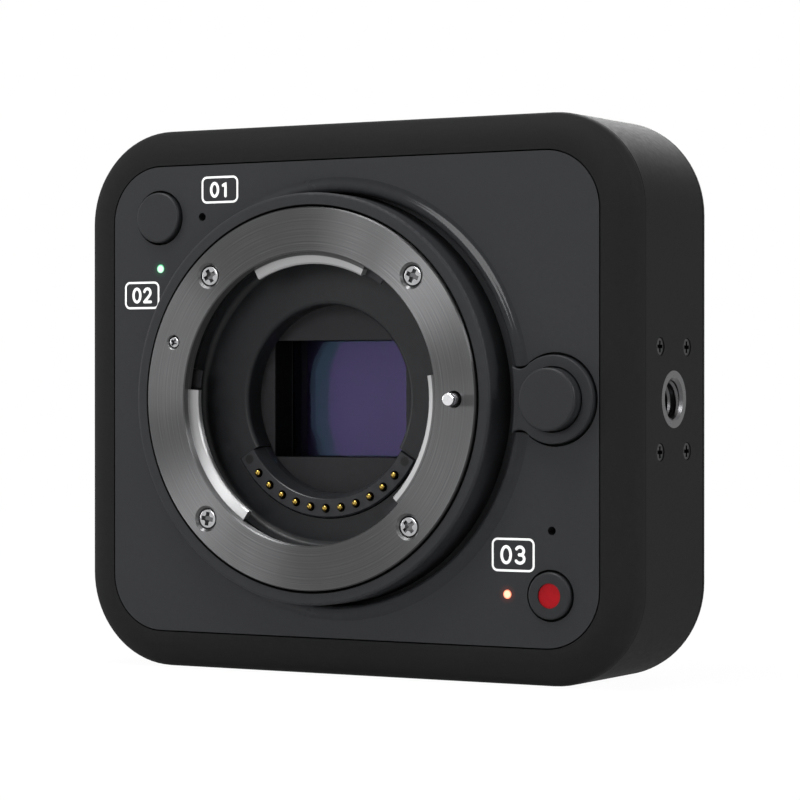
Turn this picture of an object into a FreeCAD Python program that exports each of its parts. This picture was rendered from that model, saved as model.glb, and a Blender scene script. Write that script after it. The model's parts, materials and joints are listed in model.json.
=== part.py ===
import FreeCAD, Part
import math
import os

# Interchangeable-lens video camera, body without a lens, as separate pieces.
# Millimetres. The origin is the centre of the lens ring's front face, on the optical axis.
# +Z is up, the lens side faces -Y, and +X is to the right as seen from the front.
# Every depth is counted along Y from the ring's front face.

# Driving dimensions of the housing
left_margin = 11.55          # from the mount housing to the body's left side
height_margin = 10.1         # from the mount housing to the top and the base
release_margin = 12.0        # from the release button's axis to the right side
corner_radius = 13.5
overcut = 1.0                # how far cutting shapes run past the faces they cut
wall = 2.2
plate_setback = 3.5          # front panel behind the ring's face
plate_thickness = 1.8
plate_gap = 0.2              # round the edge of the front panel
bevel_width = 4.5
bevel_depth = 3.1
bevel_edge_radius = 2.2      # tight rounding where the bevel meets the side
lip_width = 0.7
ledge_width = 1.6            # step behind the front panel
tongue_thickness = 1.1       # inner rim that locates one shell in the next
fit_gap = 0.1                # between shells that slip into each other
seam_chamfer = 0.18
rear_wall = 1.9

# Lens ring and its claws
ring_bore_radius = 20.7
ring_width = 6.3
ring_thickness = 2.3
ring_edge = 0.15
claw_height = 1.65           # how far a claw reaches in from the ring's bore
claw_depth = 1.15            # from the ring's face to the front of a claw
claw_edge = 0.2
claw_land = 0.6              # depth of a claw's inner face, in front of its step
claw_step = 0.15
claw_relief = 0.3            # the ring's bore is this much wider between the claws
claw_arcs = ((64.5, 117.0), (176.3, 237.0), (314.5, 369.7))
spring_thickness = 0.2
spring_leaf_height = 1.4
spring_leaf_arcs = ((56.0, 63.5), (168.0, 175.3), (306.0, 313.5))

# Screws of the ring
ring_screw_shift = 0.2       # outwards from the middle of the ring's face
ring_screw_angles = (45.0, 133.0, 225.6, 313.0)
ring_screw_head_radius = 1.4
ring_screw_head_height = 1.05
ring_screw_sink = 0.3
ring_screw_shank_radius = 0.85
ring_screw_rim_radius = 1.88
ring_screw_length = 5.0
ring_screw_head_gap = 0.14   # round a sunk head
ring_screw_turns = (24.0, 63.0, 8.0, 49.0)     # how each screw's cross has come to rest
index_screw_turn = 35.0
index_screw_angle = 160.1
index_screw_shift = 0.05
index_screw_head_radius = 0.8
index_screw_head_height = 0.9
index_screw_sink = 0.15
index_screw_shank_radius = 0.5
index_screw_rim_radius = 1.1
screw_side_gap = 0.08
screw_head_edge = 0.22

# Mount housing
housing_wall = 1.85
housing_lip_setback = 0.35
housing_edge_radius = 0.4
ring_pocket_gap = 0.2
housing_bore_gap = 1.0       # wider than the ring's own bore
housing_ledge = 1.8
housing_flange_overlap = 1.55
housing_flange_thickness = 1.4

# Crescent moat and its bead, on a circle set off towards the release button
moat_offset_x = 2.4
moat_reach = 2.45            # widest part of the moat, beside the release button
moat_depth = 2.9
moat_floor_thickness = 1.2
moat_wall = 1.6
bead_edge_radius = 0.83      # round edge between the moat's wall and the bead's crest
bead_run = 1.3               # from the bead's crest to its foot
bead_height = 0.43
bead_root = 0.5
plate_hole_gap = 0.1

# Throat baffle and the contacts
throat_depth = 5.8
throat_floor_thickness = 1.0
throat_wall = 0.5
throat_wall_start = 3.2
throat_floor_width = 7.7     # from the baffle's wall to its opening
throat_tube_wall = 1.0
throat_lip_radius = 0.6
throat_corner_radius = 0.9
contact_row_offset = 2.14    # from the opening's edge to the contacts
contact_count = 11
contact_pitch_deg = 9.32
contact_middle_deg = 270.0
contact_half_span_deg = 59.0
block_inner_offset = 0.8
block_foot_offset = 0.1
block_outer_offset = 3.5
block_proud = 0.45
block_slope_depth = 2.05
block_gap = 0.15
block_edge = 0.2
block_lip = 0.12
pin_radius = 0.45
pin_guide_gap = 0.05
pin_flare = 0.15             # at the mouth of each contact's hole
pin_proud = 0.6
pin_travel = 0.5
pin_length = 3.4
pin_tip_radius = 0.35
pin_collar_radius = 0.75
pin_collar_length = 0.5
pin_collar_setback = 2.6
pin_pocket_radius = 0.85
pin_pocket_lead = 0.1
flex_thickness = 0.2
flex_inset = 0.5             # from the block's inner edge

# Light shield, filter and sensor stack
window_width = 21.9
window_height = 16.8
shield_wall = 1.65
shield_plate_rim = 0.3       # beyond the contact block
shield_plate_thickness = 1.4
shield_setback = 0.2         # of its plate, behind the chassis plate's front
gasket_thickness = 0.3
filter_thickness = 1.0
aperture_thickness = 1.8
aperture_margin = 0.2
carrier_wall = 5.6           # beside the sensor
pocket_gap = 0.1
sensor_depth = 3.7
sensor_width = 27.0
sensor_height = 22.0
sensor_rim = 1.0
sensor_shelf = 1.2
cover_glass_thickness = 0.7
flange_distance = 19.25      # ring face to the sensor's surface
sensor_well = 2.35           # from the package's front to the sensor's surface
board_thickness = 1.2
connector_height = 1.6
connector_length = 16.0
connector_width = 3.0
connector_z = -8.0
chip_size = 18.0
chip_thickness = 1.2
chip_x = 6.0
chip_clearance = 0.8         # between the processor and the rear cover

# Chassis plate and the corner screws
chassis_thickness = 1.6
chassis_inset = 2.6
chassis_hole_gap = 0.3       # round the light shield
board_inset = 3.6
boss_edge_distance = 6.71    # from the rounded corner to a boss's axis
boss_radius = 3.0
cover_boss_radius = 2.8
corner_screw_radius = 1.0
corner_screw_length = 7.0
corner_head_radius = 1.8
corner_head_height = 1.0
rear_screw_reach = 4.6
screw_clearance = 0.1
carrier_screw_radius = 0.95
carrier_screw_head = 1.6
carrier_screw_head_height = 0.8
carrier_screw_inset = 2.5
carrier_screw_bite = 1.2
cross_width = 0.22           # half width of a cross recess, as a share of the head's radius
cross_reach = 0.7
cross_cone = 0.4
cross_depth = 0.55

# Release button, its surround and the lock pin
release_neck = 5.9           # from the surround's inner end to the button's axis
release_radius = 4.3
release_gap = 0.22
release_proud = 1.8
release_edge = 0.35
release_travel = 2.0
release_collar = 0.7
release_collar_thickness = 0.8
release_stem_radius = 2.2
surround_radius = 6.04
surround_proud = 0.9
surround_gap = 0.38
surround_inner_gap = 2.45    # from the mount housing to the surround
surround_horn = 4.6
surround_waist = 4.15
surround_waist_setback = 0.95
surround_flange = 1.3
surround_flange_thickness = 1.2
surround_edge = 0.2
lock_pin_shift = -0.15       # from the middle of the ring's face
lock_pin_radius = 0.9
lock_pin_proud = 1.9
lock_pin_tip = 0.25
lock_pin_groove_setback = 0.6
lock_pin_groove_width = 0.2
lock_pin_groove_depth = 0.14
lock_pin_ring_gap = 0.3
link_thickness = 1.2
link_half_width = 2.2
link_end = 1.5
link_setback = 1.0
link_window_gap = 1.5
spring_radius = 1.9
spring_wire = 0.4
release_spring_length = 4.0
bracket_thickness = 1.2
bracket_leg = 1.2
bracket_length = 6.4
bracket_post_radius = 1.2
bracket_post_length = 1.4
bracket_side_gap = 0.2

# Front buttons, lights and microphones; a button's inset is from the side and from the top or base
power_button_inset = (13.4, 12.8)
power_button_radius = 3.67
power_button_proud = 0.7
record_button_inset = (12.7, 12.55)
record_button_radius = 3.23
record_button_proud = 0.5
record_cap_radius = 1.72
record_cap_sink = 0.25
record_cap_thickness = 0.6
button_gap = 0.33
button_edge = 0.3
button_travel = 0.4
button_collar = 0.9
button_collar_thickness = 0.6
button_back_gap = 0.2
button_stem_radius = 1.2
button_stem_length = 0.15    # behind the collar
status_light_offset = (0.1, -7.4)    # from the power button
record_light_offset = (-6.6, 0.0)    # from the record button
light_radius = 0.62
light_gap = 0.03
left_microphone_gap = 3.87   # from the mount housing, towards the corner
left_microphone_angle = 126.97
right_microphone_offset = (0.2, 8.8)  # from the record button
microphone_hole_radius = 0.6
button_board_thickness = 0.8
button_board_margin = 4.6
button_board_clearance = 1.0
switch_size = 3.6
switch_height = 1.0
switch_tip_radius = 1.0
switch_tip_height = 0.5
switch_play = 0.05
led_size = 1.6
led_height = 0.8
microphone_width = 3.0
microphone_length = 3.2
microphone_height = 1.0
boot_radius = 1.5

# Tripod sockets in the side and in the base
socket_radius = 3.95
socket_thread_radius = 2.6
socket_mouth_radius = 3.0
socket_mouth_depth = 0.4
socket_hole_depth = 6.4
socket_bottom = 0.6
socket_flange = 1.1
socket_flange_thickness = 1.2
socket_setback = 0.65        # of the inner plate, behind the chassis plate's front
socket_gap = 0.05
socket_plate_length = 18.6
socket_plate_width = 12.2
socket_plate_thickness = 2.4
socket_notch_gap = 0.3       # round an inner plate, in the chassis plate
plate_screw_spacing = 14.35
plate_screw_pitch = 8.65
plate_screw_head = 1.15
plate_screw_rim = 1.25
plate_screw_sink = 0.12
plate_screw_head_height = 0.9
plate_screw_shank = 0.7
plate_screw_length = 4.2

# Sockets on the left side
port_recess = 0.2
usb_z = 14.0
usb_width = 8.94
usb_height = 3.26
usb_length = 7.4
usb_shell = 0.3
usb_tongue_width = 6.2
usb_tongue_thickness = 0.7
hdmi_z = 0.0
hdmi_width = 15.0
hdmi_height = 6.0
hdmi_length = 11.0
hdmi_shell = 0.6
hdmi_bevel = 1.6
hdmi_tongue_width = 10.0
hdmi_tongue_thickness = 1.0
audio_z = -14.0
audio_radius = 2.9
audio_bore_radius = 1.8
audio_length = 12.0
audio_back = 1.0
port_floor = 1.0             # solid back of the two flat sockets
port_gap = 0.2

# Radii that follow from the sizes above
ring_radius = ring_bore_radius + ring_width
claw_radius = ring_bore_radius - claw_height
claw_root_radius = ring_bore_radius + claw_relief
spring_leaf_radius = ring_bore_radius - spring_leaf_height
ring_middle_radius = (ring_radius + ring_bore_radius) / 2
ring_screw_row_radius = ring_middle_radius + ring_screw_shift
index_screw_row_radius = ring_middle_radius + index_screw_shift
lock_pin_x = ring_middle_radius + lock_pin_shift
housing_radius = ring_radius + ring_pocket_gap + housing_wall
housing_bore_radius = ring_bore_radius + housing_bore_gap
housing_ledge_radius = housing_bore_radius - housing_ledge
moat_radius = housing_radius + moat_reach - moat_offset_x
bead_crest_radius = moat_radius + bead_edge_radius
bead_foot_radius = bead_crest_radius + bead_run
throat_wall_radius = housing_bore_radius - fit_gap - throat_wall
throat_opening_radius = throat_wall_radius - throat_floor_width
contact_row_radius = throat_opening_radius + contact_row_offset
block_inner_radius = throat_opening_radius + block_inner_offset
block_foot_radius = throat_opening_radius + block_foot_offset
block_outer_radius = throat_opening_radius + block_outer_offset
shield_plate_radius = shield_plate_rim + max(
    block_outer_radius, math.hypot(window_width / 2 + shield_wall, window_height / 2 + shield_wall))
chassis_hole_radius = shield_plate_radius + chassis_hole_gap
surround_inner_reach = housing_radius + surround_inner_gap
release_x = surround_inner_reach + release_neck

# Depths that follow from the sizes above
plate_y = plate_setback
plate_back = plate_y + plate_thickness
crease_y = plate_y + bevel_depth
ring_seat_y = ring_thickness + spring_thickness
moat_floor_y = plate_y + moat_depth
cup_back = moat_floor_y + moat_floor_thickness
button_collar_y = plate_back + button_back_gap
button_stem_end = button_collar_y + button_collar_thickness + button_stem_length
switch_tip_y = button_stem_end + button_travel + switch_play
button_board_y = switch_tip_y + switch_tip_height + switch_height
chassis_y = button_board_y + button_board_thickness
chassis_back = chassis_y + chassis_thickness
throat_floor_back = throat_depth + throat_floor_thickness
shield_y = chassis_y + shield_setback
sensor_y = flange_distance - sensor_well
filter_back = sensor_y - aperture_thickness
filter_y = filter_back - filter_thickness
shield_back = filter_y - gasket_thickness
sensor_back = sensor_y + sensor_depth
sensor_board_back = sensor_back + board_thickness
main_board_y = sensor_board_back + connector_height
main_board_back = main_board_y + board_thickness
chip_back = main_board_back + chip_thickness
cover_inner_y = chip_back + chip_clearance
rear_y = cover_inner_y + rear_wall
rear_crease_y = rear_y - bevel_depth
block_y = throat_depth - block_proud
pin_y = block_y - pin_proud
surround_y = plate_y - surround_proud
surround_back = cup_back
release_y = surround_y - release_proud
link_y = chassis_y + link_setback
link_back = link_y + link_thickness
bracket_y = link_back + release_spring_length

# Widths and places that follow from the sizes above
body_left = -(housing_radius + left_margin)
body_right = release_x + release_margin
body_base = -(housing_radius + height_margin)
body_top = housing_radius + height_margin
body_middle = (body_left + body_right) / 2
rim_inset = bevel_width + lip_width
boss_inset = corner_radius - (corner_radius - boss_edge_distance) * math.sqrt(0.5)
shield_outer = (window_width + 2 * shield_wall, window_height + 2 * shield_wall)
shield_pocket = tuple(side + 2 * pocket_gap for side in shield_outer)
carrier_size = (sensor_width + 2 * carrier_wall, sensor_height + 2 * carrier_wall)
power_button_at = (body_left + power_button_inset[0], body_top - power_button_inset[1])
record_button_at = (body_right - record_button_inset[0], body_base + record_button_inset[1])
status_light_at = tuple(a + b for a, b in zip(power_button_at, status_light_offset))
record_light_at = tuple(a + b for a, b in zip(record_button_at, record_light_offset))
left_microphone_reach = housing_radius + left_microphone_gap
left_microphone_at = (left_microphone_reach * math.cos(math.radians(left_microphone_angle)),
                      left_microphone_reach * math.sin(math.radians(left_microphone_angle)))
right_microphone_at = tuple(a + b for a, b in zip(record_button_at, right_microphone_offset))
socket_depth_y = chassis_y + socket_setback + socket_plate_width / 2


def vector(x, y, z):
    return FreeCAD.Vector(x, y, z)


def disc(radius, y0, y1, x=0.0, z=0.0):
    """Cylinder along Y between two depths."""
    return Part.makeCylinder(radius, y1 - y0, vector(x, y0, z), vector(0, 1, 0))


def cone(radius0, radius1, y0, y1, x=0.0, z=0.0):
    return Part.makeCone(radius0, radius1, y1 - y0, vector(x, y0, z), vector(0, 1, 0))


def box(x0, x1, y0, y1, z0, z1):
    return Part.makeBox(x1 - x0, y1 - y0, z1 - z0, vector(x0, y0, z0))


def centred_box(size, y0, y1, x=0.0, z=0.0):
    """Box of a width and a height round an axis along Y."""
    width, height = size
    return box(x - width / 2, x + width / 2, y0, y1, z - height / 2, z + height / 2)


def polar(radius, angle_deg, y=0.0):
    angle = math.radians(angle_deg)
    return vector(radius * math.cos(angle), y, radius * math.sin(angle))


def line(a, b):
    return Part.LineSegment(a, b).toShape()


def arc(a, middle, b):
    return Part.Arc(a, middle, b).toShape()


def closed_face(edges):
    return Part.Face(Part.Wire(edges))


def polygon_face(points):
    return Part.Face(Part.makePolygon(list(points) + [points[0]]))


def fuse_all(shapes):
    first, *others = shapes
    return first.fuse(others).removeSplitter() if others else first


def cut_all(shape, tools):
    return shape.cut(list(tools)) if tools else shape


def ring_solid(profile, angle0=0.0, angle1=360.0):
    """Turn points of (radius, depth) round the lens axis between two angles."""
    face = polygon_face([polar(radius, angle0, y) for radius, y in profile])
    return face.revolve(vector(0, 0, 0), vector(0, -1, 0), angle1 - angle0)


def outline_wire(inset, y):
    """The body's rounded rectangle, drawn in by an inset, from the middle of its base."""
    x0, x1 = body_left + inset, body_right - inset
    z0, z1 = body_base + inset, body_top - inset
    r = corner_radius - inset
    middle = body_middle
    bend = r * (1 - math.sqrt(0.5))
    edges = [
        line(vector(middle, y, z0), vector(x1 - r, y, z0)),
        arc(vector(x1 - r, y, z0), vector(x1 - bend, y, z0 + bend), vector(x1, y, z0 + r)),
        line(vector(x1, y, z0 + r), vector(x1, y, z1 - r)),
        arc(vector(x1, y, z1 - r), vector(x1 - bend, y, z1 - bend), vector(x1 - r, y, z1)),
        line(vector(x1 - r, y, z1), vector(x0 + r, y, z1)),
        arc(vector(x0 + r, y, z1), vector(x0 + bend, y, z1 - bend), vector(x0, y, z1 - r)),
        line(vector(x0, y, z1 - r), vector(x0, y, z0 + r)),
        arc(vector(x0, y, z0 + r), vector(x0 + bend, y, z0 + bend), vector(x0 + r, y, z0)),
        line(vector(x0 + r, y, z0), vector(middle, y, z0)),
    ]
    return Part.Wire(edges)


def slab(inset, y0, y1):
    """Plate with the body's outline, drawn in by an inset."""
    return Part.Face(outline_wire(inset, y0)).extrude(vector(0, y1 - y0, 0))


def band(edges):
    """Sweep a profile, drawn at the middle of the base, round the body's outline."""
    path = outline_wire(0.0, 0.0)
    return path.makePipeShell([Part.Wire(edges)], True, False)


def rim_point(inset, y):
    return vector(body_middle, y, body_base + inset)


def path_edges(points):
    return [line(a, b) for a, b in zip(points, points[1:]) if (a - b).Length > 1e-9]


def bevel_edges(flat_y, side_y):
    """Convex bevel of two tangent arcs, from the flat rim at flat_y to the side at side_y."""
    depth = abs(side_y - flat_y)
    sign = 1 if side_y > flat_y else -1
    small = bevel_edge_radius
    large = ((bevel_width - small) ** 2 + depth ** 2 - small ** 2) / (2 * (depth - small))
    large_centre = (bevel_width, large)
    small_centre = (small, depth)
    turn = math.atan2(bevel_width - small, large - depth)

    def on_arc(centre, radius, angle):
        return rim_point(centre[0] - radius * math.sin(angle),
                         flat_y + sign * (centre[1] - radius * math.cos(angle)))

    quarter = math.pi / 2
    return [
        arc(on_arc(large_centre, large, 0.0), on_arc(large_centre, large, turn / 2),
            on_arc(large_centre, large, turn)),
        arc(on_arc(small_centre, small, turn), on_arc(small_centre, small, (turn + quarter) / 2),
            on_arc(small_centre, small, quarter)),
    ]


def cross_recess(radius, y, x=0.0, z=0.0, turn=0.0):
    """Cross-head recess, cut from a face at depth y."""
    half = cross_width * radius
    reach = cross_reach * radius
    bars = [centred_box((2 * reach, 2 * half), y, y + cross_depth, x, z),
            centred_box((2 * half, 2 * reach), y, y + cross_depth, x, z)]
    middle = cone(cross_cone * radius, half, y, y + cross_depth, x, z)
    recess = fuse_all(bars + [middle])
    recess.rotate(vector(x, y, z), vector(0, 1, 0), turn)
    return recess


def screw(head_radius, head_height, shank_radius, length, y=0.0, x=0.0, z=0.0, turn=0.0):
    """Pan-head screw whose head faces -Y at depth y."""
    head = disc(head_radius, y, y + head_height, x, z)
    head = head.makeFillet(screw_head_edge, edges_at(head, y))
    shank = disc(shank_radius, y + head_height, y + head_height + length, x, z)
    return head.fuse(shank).removeSplitter().cut(cross_recess(head_radius, y, x, z, turn))


def edges_at(shape, y, radius=None):
    """Circular edges in the plane at depth y, of one radius where it is given."""
    found = []
    for edge in shape.Edges:
        flat = abs(edge.BoundBox.YMin - y) < 1e-6 and abs(edge.BoundBox.YMax - y) < 1e-6
        if not flat or not isinstance(edge.Curve, Part.Circle):
            continue
        if radius is None or abs(edge.Curve.Radius - radius) < 1e-6:
            found.append(edge)
    return found


def corner_points():
    """Centres of the four corner bosses."""
    return [(x, z) for x in (body_left + boss_inset, body_right - boss_inset)
            for z in (body_base + boss_inset, body_top - boss_inset)]


def ring_screw_points():
    return [(ring_screw_row_radius * math.cos(math.radians(a)),
             ring_screw_row_radius * math.sin(math.radians(a))) for a in ring_screw_angles]


def index_screw_point():
    angle = math.radians(index_screw_angle)
    return index_screw_row_radius * math.cos(angle), index_screw_row_radius * math.sin(angle)


def contact_angles():
    first = contact_middle_deg - contact_pitch_deg * (contact_count - 1) / 2
    return [first + contact_pitch_deg * i for i in range(contact_count)]


def contact_points():
    return [polar(contact_row_radius, angle) for angle in contact_angles()]


def surround_face(gap, y):
    """Keyhole outline of the release button's surround, grown by a gap."""
    radius = surround_radius + gap
    reach = surround_inner_reach - gap
    horn = surround_horn + gap
    waist = surround_waist + gap
    waist_x = surround_inner_reach + surround_waist_setback
    horn_x = math.sqrt(reach ** 2 - horn ** 2)
    join_z = waist + (surround_horn - surround_waist) * 1.5
    join_x = release_x - math.sqrt(radius ** 2 - join_z ** 2)
    top = vector(horn_x, y, horn)
    bottom = vector(horn_x, y, -horn)
    join_top = vector(join_x, y, join_z)
    join_bottom = vector(join_x, y, -join_z)
    return closed_face([
        arc(top, vector(waist_x, y, waist), join_top),
        arc(join_top, vector(release_x + radius, y, 0), join_bottom),
        arc(join_bottom, vector(waist_x, y, -waist), bottom),
        arc(bottom, vector(reach, y, 0), top),
    ])


def surround_prism(gap, y0, y1):
    return surround_face(gap, y0).extrude(vector(0, y1 - y0, 0))


def front_bezel():
    """Rounded frame round the front panel, with the ledge and rim behind it."""
    bevel = bevel_edges(plate_y, crease_y)
    ledge = rim_inset + ledge_width
    tongue_outer = wall + fit_gap
    tongue_inner = tongue_outer + tongue_thickness
    inside = path_edges([
        rim_point(0.0, crease_y),
        rim_point(tongue_outer, crease_y),
        rim_point(tongue_outer, chassis_y),
        rim_point(tongue_inner, chassis_y),
        rim_point(tongue_inner, crease_y),
        rim_point(ledge, crease_y),
        rim_point(ledge, plate_back),
        rim_point(rim_inset, plate_back),
        rim_point(rim_inset, plate_y),
        rim_point(bevel_width, plate_y),
    ])
    room = [disc(surround_radius + surround_flange + fit_gap, plate_back, crease_y, release_x),
            surround_prism(surround_gap, plate_y - overcut, plate_back)]
    return band(bevel + inside).cut(room)


def front_plate():
    """Front panel with the moat cup, the bead and the holes of all that shows through it."""
    plate = slab(rim_inset + plate_gap, plate_y, plate_back)
    plate = plate.cut(disc(bead_foot_radius, plate_y - overcut, plate_y + bead_root, moat_offset_x))
    cup = disc(moat_radius + moat_wall, plate_back, cup_back, moat_offset_x)
    bead = bead_solid()
    solid = fuse_all([plate, cup, bead])
    holes = [
        disc(moat_radius, plate_y - bead_height - overcut, moat_floor_y, moat_offset_x),
        disc(housing_radius + plate_hole_gap, 0, cup_back + overcut),
        surround_prism(surround_gap, 0, cup_back + overcut),
    ]
    for (x, z), radius in (
        (power_button_at, power_button_radius + button_gap),
        (record_button_at, record_button_radius + button_gap),
        (status_light_at, light_radius + light_gap),
        (record_light_at, light_radius + light_gap),
        (left_microphone_at, microphone_hole_radius),
        (right_microphone_at, microphone_hole_radius),
    ):
        holes.append(disc(radius, 0, cup_back, x, z))
    return cut_all(solid, holes)


def bead_solid():
    """Bead round the moat: a round edge up to its crest, then a soft S-curve to the panel."""
    crest_y = plate_y - bead_height
    slope = 2 * math.atan2(bead_height, bead_run)
    foot_curve = bead_run / math.sin(slope) - bead_edge_radius

    def on_edge(angle):
        return vector(moat_offset_x + bead_crest_radius + bead_edge_radius * math.sin(angle),
                      crest_y + bead_edge_radius * (1 - math.cos(angle)), 0)

    def on_foot(angle):
        return vector(moat_offset_x + bead_foot_radius - foot_curve * math.sin(angle),
                      plate_y - foot_curve * (1 - math.cos(angle)), 0)

    quarter = math.pi / 2
    inner = vector(moat_offset_x + moat_radius, plate_y + bead_root, 0)
    outer = vector(moat_offset_x + bead_foot_radius, plate_y + bead_root, 0)
    face = closed_face([
        arc(on_edge(-quarter), on_edge(-quarter / 2), on_edge(0)),
        arc(on_edge(0), on_edge(slope / 2), on_edge(slope)),
        arc(on_foot(slope), on_foot(slope / 2), on_foot(0)),
        line(on_foot(0), outer),
        line(outer, inner),
        line(inner, on_edge(-quarter)),
    ])
    return face.revolve(vector(moat_offset_x, 0, 0), vector(0, 1, 0), 360)


def socket_places():
    """Where the two tripod sockets open: a placement from the socket's own frame."""
    side = FreeCAD.Placement(vector(body_right, socket_depth_y, 0),
                             FreeCAD.Rotation(vector(0, 1, 0), 90))
    base = FreeCAD.Placement(vector(0, socket_depth_y, body_base),
                             FreeCAD.Rotation(vector(1, 0, 0), 180))
    return {"side": side, "base": base}


def placed(shape, place):
    result = shape.copy()
    result.Placement = place.multiply(result.Placement)
    return result


def z_disc(radius, z0, z1, x=0.0, y=0.0):
    return Part.makeCylinder(radius, z1 - z0, vector(x, y, z0))


def plate_screw_points():
    return [(x, y) for x in (-plate_screw_spacing / 2, plate_screw_spacing / 2)
            for y in (-plate_screw_pitch / 2, plate_screw_pitch / 2)]


def tripod_socket():
    """Blind threaded socket in its own frame: +Z is the way out, and its mouth is at Z = 0."""
    depth = socket_hole_depth + socket_bottom
    flange_top = -(wall + socket_plate_thickness)
    barrel = z_disc(socket_radius, -depth, 0)
    flange = z_disc(socket_radius + socket_flange, flange_top - socket_flange_thickness, flange_top)
    hole = z_disc(socket_thread_radius, -socket_hole_depth, 0)
    mouth = Part.makeCone(socket_thread_radius, socket_mouth_radius, socket_mouth_depth,
                          vector(0, 0, -socket_mouth_depth))
    return barrel.fuse(flange).removeSplitter().cut([hole, mouth])


def socket_plate():
    """Inner plate that the four screws pull against the wall."""
    half_length, half_width = socket_plate_length / 2, socket_plate_width / 2
    plate = Part.makeBox(socket_plate_length, socket_plate_width, socket_plate_thickness,
                         vector(-half_length, -half_width, -wall - socket_plate_thickness))
    holes = [z_disc(socket_radius + socket_gap, -wall - socket_plate_thickness - overcut, 0)]
    for x, y in plate_screw_points():
        holes.append(z_disc(plate_screw_shank, -wall - socket_plate_thickness - overcut, 0, x, y))
    return plate.cut(holes)


def socket_notch():
    """Room for an inner plate at the edge of the chassis plate."""
    half_length = socket_plate_length / 2 + socket_notch_gap
    half_width = socket_plate_width / 2 + socket_notch_gap
    depth = wall + socket_plate_thickness + socket_notch_gap
    return Part.makeBox(2 * half_length, 2 * half_width, depth,
                        vector(-half_length, -half_width, -depth))


def plate_screws():
    """Four small screws, as one group of separate solids."""
    solids = []
    for x, y in plate_screw_points():
        top = -plate_screw_sink
        head = z_disc(plate_screw_head, top - plate_screw_head_height, top, x, y)
        under = top - plate_screw_head_height
        shank = z_disc(plate_screw_shank, -plate_screw_length, under, x, y)
        half = cross_width * plate_screw_head
        reach = cross_reach * plate_screw_head
        floor = top - cross_depth
        bars = [Part.makeBox(2 * reach, 2 * half, cross_depth, vector(x - reach, y - half, floor)),
                Part.makeBox(2 * half, 2 * reach, cross_depth, vector(x - half, y - reach, floor))]
        solids.append(head.fuse(shank).removeSplitter().cut(bars))
    return solids


def socket_cutters():
    """What the wall loses round a tripod socket."""
    tools = [z_disc(socket_radius + socket_gap, -wall - overcut, overcut)]
    floor = -plate_screw_sink - plate_screw_head_height
    for x, y in plate_screw_points():
        tools.append(z_disc(plate_screw_rim, floor, overcut, x, y))
        tools.append(z_disc(plate_screw_shank + screw_side_gap, -wall - overcut, overcut, x, y))
    return tools


def stadium(width, height, x0, x1, y, z):
    """Flat-sided slot along X, wide along Z, with round ends."""
    r = height / 2
    straight = width / 2 - r
    body = box(x0, x1, y - r, y + r, z - straight, z + straight)
    ends = [Part.makeCylinder(r, x1 - x0, vector(x0, y, z + side), vector(1, 0, 0))
            for side in (-straight, straight)]
    return fuse_all([body] + ends)


def bevelled_block(width, height, bevel, x0, x1, y, z):
    """Block along X whose two front corners are cut off."""
    w, h = width / 2, height / 2
    points = [(-h + bevel, -w), (h, -w), (h, w), (-h + bevel, w), (-h, w - bevel), (-h, -w + bevel)]
    face = polygon_face([vector(x0, y + dy, z + dz) for dy, dz in points])
    return face.extrude(vector(x1 - x0, 0, 0))


def usb_y():
    return main_board_y - usb_height / 2


def hdmi_y():
    return main_board_y - hdmi_height / 2


def audio_y():
    return main_board_y - audio_radius


def port_cutters():
    """Openings in the left wall for the sockets."""
    x0, x1 = body_left - overcut, body_left + wall + overcut
    audio = Part.makeCylinder(audio_radius + port_gap, x1 - x0, vector(x0, audio_y(), audio_z),
                              vector(1, 0, 0))
    return [
        stadium(usb_width + 2 * port_gap, usb_height + 2 * port_gap, x0, x1, usb_y(), usb_z),
        bevelled_block(hdmi_width + 2 * port_gap, hdmi_height + 2 * port_gap, hdmi_bevel,
                       x0, x1, hdmi_y(), hdmi_z),
        audio,
    ]


def usb_port():
    x0 = body_left + port_recess
    x1 = x0 + usb_length
    y, z = usb_y(), usb_z
    outer = stadium(usb_width, usb_height, x0, x1, y, z)
    inner = stadium(usb_width - 2 * usb_shell, usb_height - 2 * usb_shell, x0, x1 - port_floor, y, z)
    tongue = box(x0 + 2 * usb_shell, x1 - port_floor, y - usb_tongue_thickness / 2,
                 y + usb_tongue_thickness / 2, z - usb_tongue_width / 2, z + usb_tongue_width / 2)
    return outer.cut(inner).fuse(tongue).removeSplitter()


def hdmi_port():
    x0 = body_left + port_recess
    x1 = x0 + hdmi_length
    y, z = hdmi_y(), hdmi_z
    outer = bevelled_block(hdmi_width, hdmi_height, hdmi_bevel, x0, x1, y, z)
    inner = bevelled_block(hdmi_width - 2 * hdmi_shell, hdmi_height - 2 * hdmi_shell,
                           hdmi_bevel - hdmi_shell / 2, x0, x1 - port_floor, y, z)
    tongue = box(x0 + 2 * hdmi_shell, x1 - port_floor, y - hdmi_tongue_thickness / 2,
                 y + hdmi_tongue_thickness / 2, z - hdmi_tongue_width / 2, z + hdmi_tongue_width / 2)
    return outer.cut(inner).fuse(tongue).removeSplitter()


def audio_jack():
    x0 = body_left + port_recess
    y, z = audio_y(), audio_z
    along = vector(1, 0, 0)
    barrel = Part.makeCylinder(audio_radius, audio_length, vector(x0, y, z), along)
    base_x0 = body_left + wall + port_gap
    base = box(base_x0, x0 + audio_length, y, main_board_y, z - audio_radius, z + audio_radius)
    hole = Part.makeCylinder(audio_bore_radius, audio_length - audio_back, vector(x0, y, z), along)
    return barrel.fuse(base).removeSplitter().cut(hole)


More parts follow.
